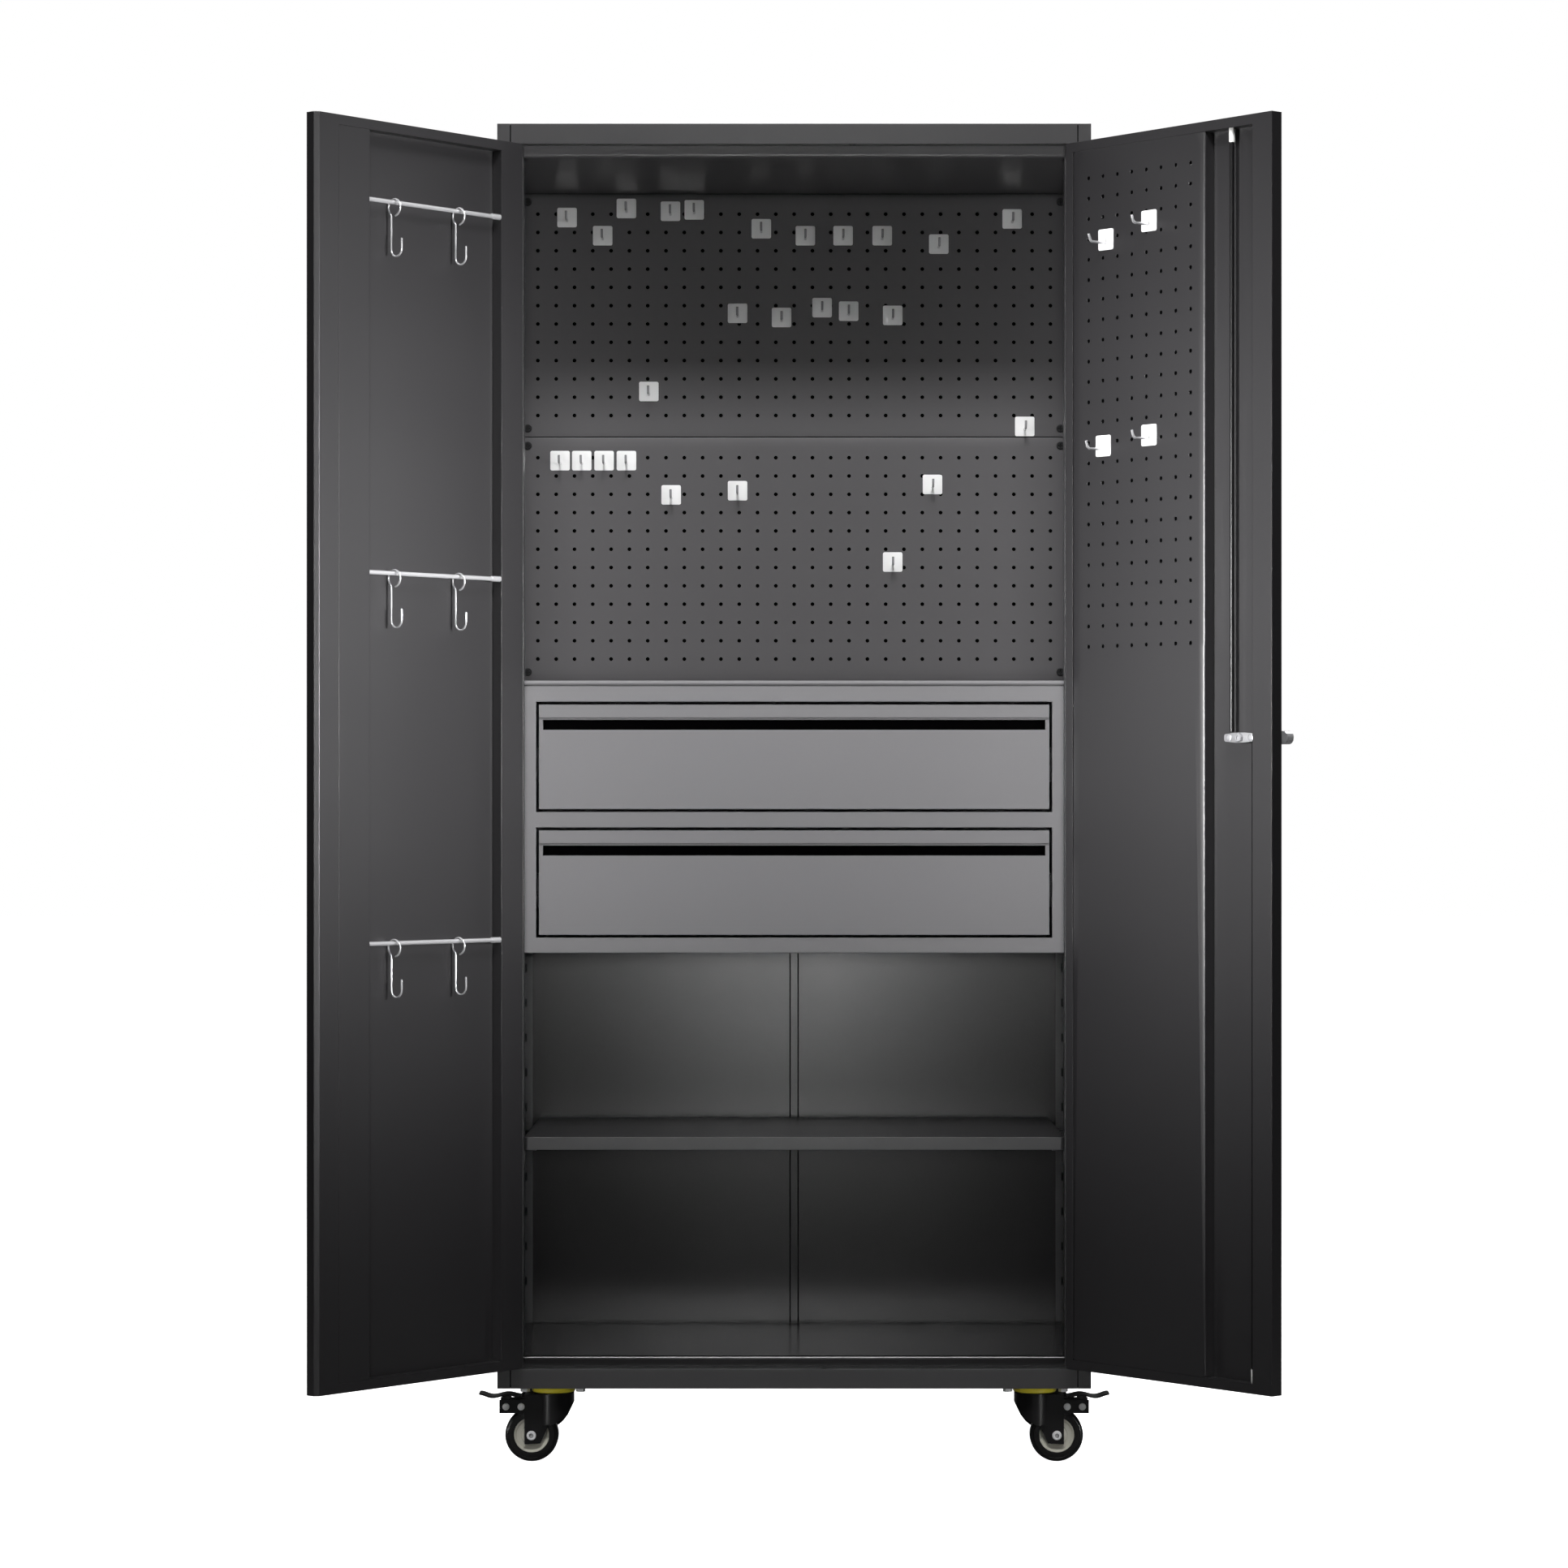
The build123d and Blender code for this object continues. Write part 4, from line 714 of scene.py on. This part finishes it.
def addCrossScrew(bm, centre):  # a pan head facing the front with a cross recess
    arm, half = boardScrew["cross"], boardScrew["slot"]
    place = Matrix.Translation(centre) @ Matrix.Rotation(pi / 2, 4, "X")
    outline = [(half, half), (half, arm), (-half, arm), (-half, half), (-arm, half), (-arm, -half),
               (-half, -half), (-half, -arm), (half, -arm), (half, -half), (arm, -half), (arm, half)]
    cross = [bm.verts.new((x, y, boardScrew["height"])) for x, y in outline]
    crossEdges = [bm.edges.new((cross[index - 1], cross[index])) for index in range(12)]
    rim = bmesh.ops.create_circle(bm, segments=24, radius=boardScrew["flat"])["verts"]
    bmesh.ops.translate(bm, verts=rim, vec=(0, 0, boardScrew["height"]))
    rimEdges = list({edge for vert in rim for edge in vert.link_edges})
    bmesh.ops.triangle_fill(bm, edges=crossEdges + rimEdges, use_beauty=True)
    made = set(cross) | set(rim)
    ring = rimEdges
    for grow, drop in boardScrew["fall"]:
        pushed = bmesh.ops.extrude_edge_only(bm, edges=ring)
        fresh = newVerts(pushed)
        bmesh.ops.scale(bm, verts=fresh, vec=(grow, grow, 1))
        bmesh.ops.translate(bm, verts=fresh, vec=(0, 0, -drop))
        ring = [edge for edge in newEdges(pushed) if all(vert in fresh for vert in edge.verts)]
        made |= set(fresh)
    pushed = bmesh.ops.extrude_edge_only(bm, edges=crossEdges)
    fresh = newVerts(pushed)
    bmesh.ops.translate(bm, verts=fresh, vec=(0, 0, -boardScrew["depth"]))
    bottom = [edge for edge in newEdges(pushed) if all(vert in fresh for vert in edge.verts)]
    bmesh.ops.triangle_fill(bm, edges=bottom, use_beauty=True)
    made |= set(fresh)
    bmesh.ops.transform(bm, matrix=place, verts=list(made))


bm = bmesh.new()
for level in boardScrew["levels"]:
    for side in (-1, 1):
        addCrossScrew(bm, (side * boardScrew["x"], cabinet["boardDepth"], level))
bmesh.ops.recalc_face_normals(bm, faces=list(bm.faces))
finishPiece(bm, "boardScrews", "carcass", ["screwBlack"], ["pegboard_screws"])

lockRods = {"x": {"upper": cabinet["doorOuter"] - 301.0, "lower": cabinet["doorOuter"] - 340.0}, "y": 10.0,
            "radius": 3.0, "tip": 4.0, "tipLength": 20.0, "tipGap": 11.0, "tipPart": 0.05, "start": 7.5,
            "level": 977.0}
for rodName, upward in (("upper", 1), ("lower", -1)):
    edge = cabinet["doorTop"] if upward > 0 else cabinet["doorBottom"]
    tipStart = edge - upward * (lockRods["tipGap"] + lockRods["tipLength"])
    near = lockRods["level"] + upward * lockRods["start"]
    centre = (lockRods["x"][rodName], lockRods["y"], near)
    length = abs(tipStart - near)
    radius, tip, tipEnd = lockRods["radius"], lockRods["tip"], length + lockRods["tipLength"]
    rodProfile = [(0.01, 0), (radius - 0.6, 0), (radius, 0.8), (radius, length), (0.01, length)]
    tipBase = length + lockRods["tipPart"]
    tipProfile = [(0.01, tipBase), (tip - 0.4, tipBase), (tip, length + 1), (tip, tipEnd - 1.5),
                  (tip - 0.8, tipEnd - 0.3), (0.01, tipEnd)]
    bm = bmesh.new()
    addLathe(bm, rodProfile, centre, (0, 0, upward), 20, 0)
    addLathe(bm, tipProfile, centre, (0, 0, upward), 24, 1)
    finishPiece(bm, rodName + "LockRod", rodName + "_lock_rod", ["forkBlack", "tipWhite"],
                ["lock_rod_" + rodName], swung(1))

lockCam = {"x": cabinet["doorOuter"] - 320.5, "near": 13.6, "gauge": 2.5, "edge": 0.4, "arm": 19.5,
           "pin": 2.5, "pinStart": 6.6, "washer": 4.8, "nut": 6.0, "nutHeight": 4.0, "bore": 3.0,
           "outline": ((-28.0, 3.0), (-26.4, 4.8), (-8.0, 6.5), (8.0, 6.5), (26.4, 4.8), (28.0, 3.0))}
bm = bmesh.new()
face = lockCam["near"] + lockCam["gauge"]
upperLine = [(lockCam["x"] + x, lockCam["near"], lockRods["level"] + z) for x, z in lockCam["outline"]]
lowerLine = [(x, y, 2 * lockRods["level"] - z) for x, y, z in reversed(upperLine)]
addPlate(bm, upperLine + lowerLine, Vector((0, 1, 0)), lockCam["gauge"], lockCam["edge"])
pin, washer = lockCam["pin"], lockCam["washer"]
pinProfile = [(0.01, lockCam["pinStart"]), (pin, lockCam["pinStart"]), (pin, face), (washer, face),
              (washer, face + 0.6), (pin + 0.9, face + 0.7), (pin + 0.5, face + 1.0), (0.01, face + 1.0)]
for side in (-1, 1):
    addLathe(bm, pinProfile, (lockCam["x"] + side * lockCam["arm"], 0, lockRods["level"]), (0, 1, 0), 24, 1)
nut, nutTop, bore = lockCam["nut"], face + lockCam["nutHeight"], lockCam["bore"]
nutProfile = [(nut, face), (nut, nutTop - 0.5), (nut - 0.7, nutTop), (bore + 0.1, nutTop),
              (bore, nutTop - 1.0), (0.01, nutTop - 1.0)]
addLathe(bm, nutProfile, (lockCam["x"], 0, lockRods["level"]), (0, 1, 0), 6, 1)
finishPiece(bm, "lockCamPlate", "lock_grip", ["zinc", "slideZinc"], ["lock_cam"], swung(1))
print("screws, lock rods and cam set")


# Painted shade inside each finger pull: black sheets lining the recess

pull = {"strip": 20.5, "height": 13.5, "depth": 14.0, "cheek": 5.0, "shadeSheet": 0.3, "gap": 0.05, "lead": 1.5}
for drawerName in ("upper", "lower"):
    lowCorner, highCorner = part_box(drawerName + "_drawer_front")
    half = highCorner[0] / mm - pull["cheek"] - pull["shadeSheet"]
    front = lowCorner[1] / mm - cabinet["frontY"]
    lead, back = front + pull["lead"], front + pull["depth"] - pull["gap"]
    top = highCorner[2] / mm - pull["strip"] - pull["gap"]
    base = top - pull["height"] + 2 * pull["gap"]
    bm = bmesh.new()
    # painted shade on the back, top and bottom of the recess
    addPlate(bm, uprightSheet(-half, half, base, top, back), Vector((0, -1, 0)), pull["shadeSheet"])
    for z, inward in ((top, -1), (base, 1)):
        corners = [(-half, lead, z), (half, lead, z), (half, back, z), (-half, back, z)]
        addPlate(bm, corners, Vector((0, 0, inward)), pull["shadeSheet"])
    finishPiece(bm, drawerName + "PullShade", drawerName + "_drawer", ["shadeBlack"], smooth=0)
print("finger pulls lined")


# Stage, camera and lights

studio = {"floorSize": 60, "floor": (0.9, 0.9, 0.9), "mirroredFloor": (0.12, 0.12, 0.12), "floorGlow": 1.0,
          "floorRough": 0.9, "floorGloss": 0.1, "fill": 0.03, "backdrop": 1.0, "distance": 6.078,
          "eye": 0.889, "lens": 103.6, "sensor": 36, "shiftX": -0.00647, "shiftY": 0.01398, "far": 200}

bpy.ops.mesh.primitive_plane_add(size=studio["floorSize"], location=(0, 0, 0))
floor = bpy.context.object
floor.name = "studioFloor"
floorMat, floorTree, floorShader = newMaterial("studioFloor")
floorShader.inputs["Roughness"].default_value = studio["floorRough"]
floorShader.inputs["Specular IOR Level"].default_value = studio["floorGloss"]
floorShader.inputs["Emission Color"].default_value = (1, 1, 1, 1)
seen = nodeIn(floorTree, "ShaderNodeLightPath")  # pale to the camera, greyer where the paint mirrors it
shade = nodeIn(floorTree, "ShaderNodeMix", data_type="RGBA")
shade.inputs["A"].default_value = (*studio["mirroredFloor"], 1)
shade.inputs["B"].default_value = (*studio["floor"], 1)
glow = mathNode(floorTree, "MULTIPLY", seen.outputs["Is Camera Ray"], studio["floorGlow"])
floorTree.links.new(seen.outputs["Is Camera Ray"], shade.inputs["Factor"])
floorTree.links.new(shade.outputs["Result"], floorShader.inputs["Base Color"])
floorTree.links.new(glow, floorShader.inputs["Emission Strength"])
floor.data.materials.append(floorMat)

cameraData = bpy.data.cameras.new("camera")
camera = bpy.data.objects.new("camera", cameraData)
bpy.context.scene.collection.objects.link(camera)
camera.location = (0, cabinet["frontY"] * mm - studio["distance"], studio["eye"])
camera.rotation_euler = (pi / 2, 0, 0)
cameraData.lens = studio["lens"]
cameraData.sensor_width = studio["sensor"]
cameraData.shift_x = studio["shiftX"]
cameraData.shift_y = studio["shiftY"]
cameraData.clip_end = studio["far"]
bpy.context.scene.camera = camera

world = bpy.data.worlds.new("studio")
bpy.context.scene.world = world
world.use_nodes = True
worldTree = world.node_tree
fillLight = worldTree.nodes["Background"]
backdrop = nodeIn(worldTree, "ShaderNodeBackground")
for background, strength in ((fillLight, studio["fill"]), (backdrop, studio["backdrop"])):
    background.inputs["Color"].default_value = (1, 1, 1, 1)
    background.inputs["Strength"].default_value = strength
rayKind = nodeIn(worldTree, "ShaderNodeLightPath")
chosen = nodeIn(worldTree, "ShaderNodeMixShader")
worldTree.links.new(rayKind.outputs["Is Camera Ray"], chosen.inputs["Fac"])
worldTree.links.new(fillLight.outputs[0], chosen.inputs[1])
worldTree.links.new(backdrop.outputs[0], chosen.inputs[2])
worldTree.links.new(chosen.outputs[0], worldTree.nodes["World Output"].inputs["Surface"])


def areaLight(name, side, light):  # side is -1 to mirror the light to the left
    place, aim = (Vector((side * x, y, z)) for x, y, z in (light["place"], light["aim"]))
    data = bpy.data.lights.new(name, "AREA")
    data.shape = "RECTANGLE"
    data.size, data.size_y = light["size"]
    data.energy = light["power"]
    data.spread = radians(light["spread"])
    lamp = bpy.data.objects.new(name, data)
    bpy.context.scene.collection.objects.link(lamp)
    lamp.location = place
    lamp.rotation_euler = (aim - place).to_track_quat("-Z", "Y").to_euler()


flags = {"x": 1.29, "y": -1.15, "z": 1.0, "width": 0.42, "height": 2.4}
flagMat, _, flagShader = newMaterial("flagBlack")
flagShader.inputs["Base Color"].default_value = (0, 0, 0, 1)
flagShader.inputs["Roughness"].default_value = 1.0
flagShader.inputs["Specular IOR Level"].default_value = 0.0
for sideName, side in (("Left", -1), ("Right", 1)):  # a card that keeps the side light off the door's end
    place = (side * flags["x"], flags["y"], flags["z"])
    bpy.ops.mesh.primitive_plane_add(size=1, location=place, rotation=(pi / 2, 0, 0))
    flag = bpy.context.object
    flag.name = "flag" + sideName
    flag.scale = (flags["width"], flags["height"], 1)
    flag.visible_camera = False
    flag.data.materials.append(flagMat)

lights = {
    "overhead": {"place": (0, -3.7, 4.7), "aim": (0, 0, 1.2), "size": (1.8, 0.8), "power": 24, "spread": 50},
    "frontSoftbox": {"place": (0, -6.8, 1.1), "aim": (0, 0, 1.1), "size": (0.5, 0.5), "power": 1.0,
                     "spread": 28},
    "boardFill": {"place": (0, -4.2, 0.6), "aim": (0, 0.3, 1.66), "size": (0.6, 0.3), "power": 0.16,
                  "spread": 16},
    "bayGlow": {"place": (0, -6.8, 0.4), "aim": (0, 0, 0.5), "size": (0.3, 0.3), "power": 0.03, "spread": 12},
    "Softbox": {"place": (1.9, -2.0, 1.1), "aim": (-0.5, -0.2, 1.2), "size": (0.7, 0.5), "power": 9,
                "spread": 34},
    "Low": {"place": (1.3, -1.3, 0.07), "aim": (0.33, 0, 0.06), "size": (0.3, 0.05), "power": 0.34,
            "spread": 20},
    "Side": {"place": (3.2, 3.0, 4.2), "aim": (0.4, 0.3, 0.9), "size": (2.4, 1.6), "power": 22, "spread": 70},
    "back": {"place": (0, 4.0, 4.4), "aim": (0, 0.4, 0.9), "size": (2.4, 1.6), "power": 28, "spread": 70},
}
for lightName, light in lights.items():
    if light["place"][0] == 0:
        areaLight(lightName, 1, light)
    else:  # one on each side
        areaLight("left" + lightName, -1, light)
        areaLight("right" + lightName, 1, light)

bpy.context.scene.view_settings.view_transform = "Standard"
print("studio set")
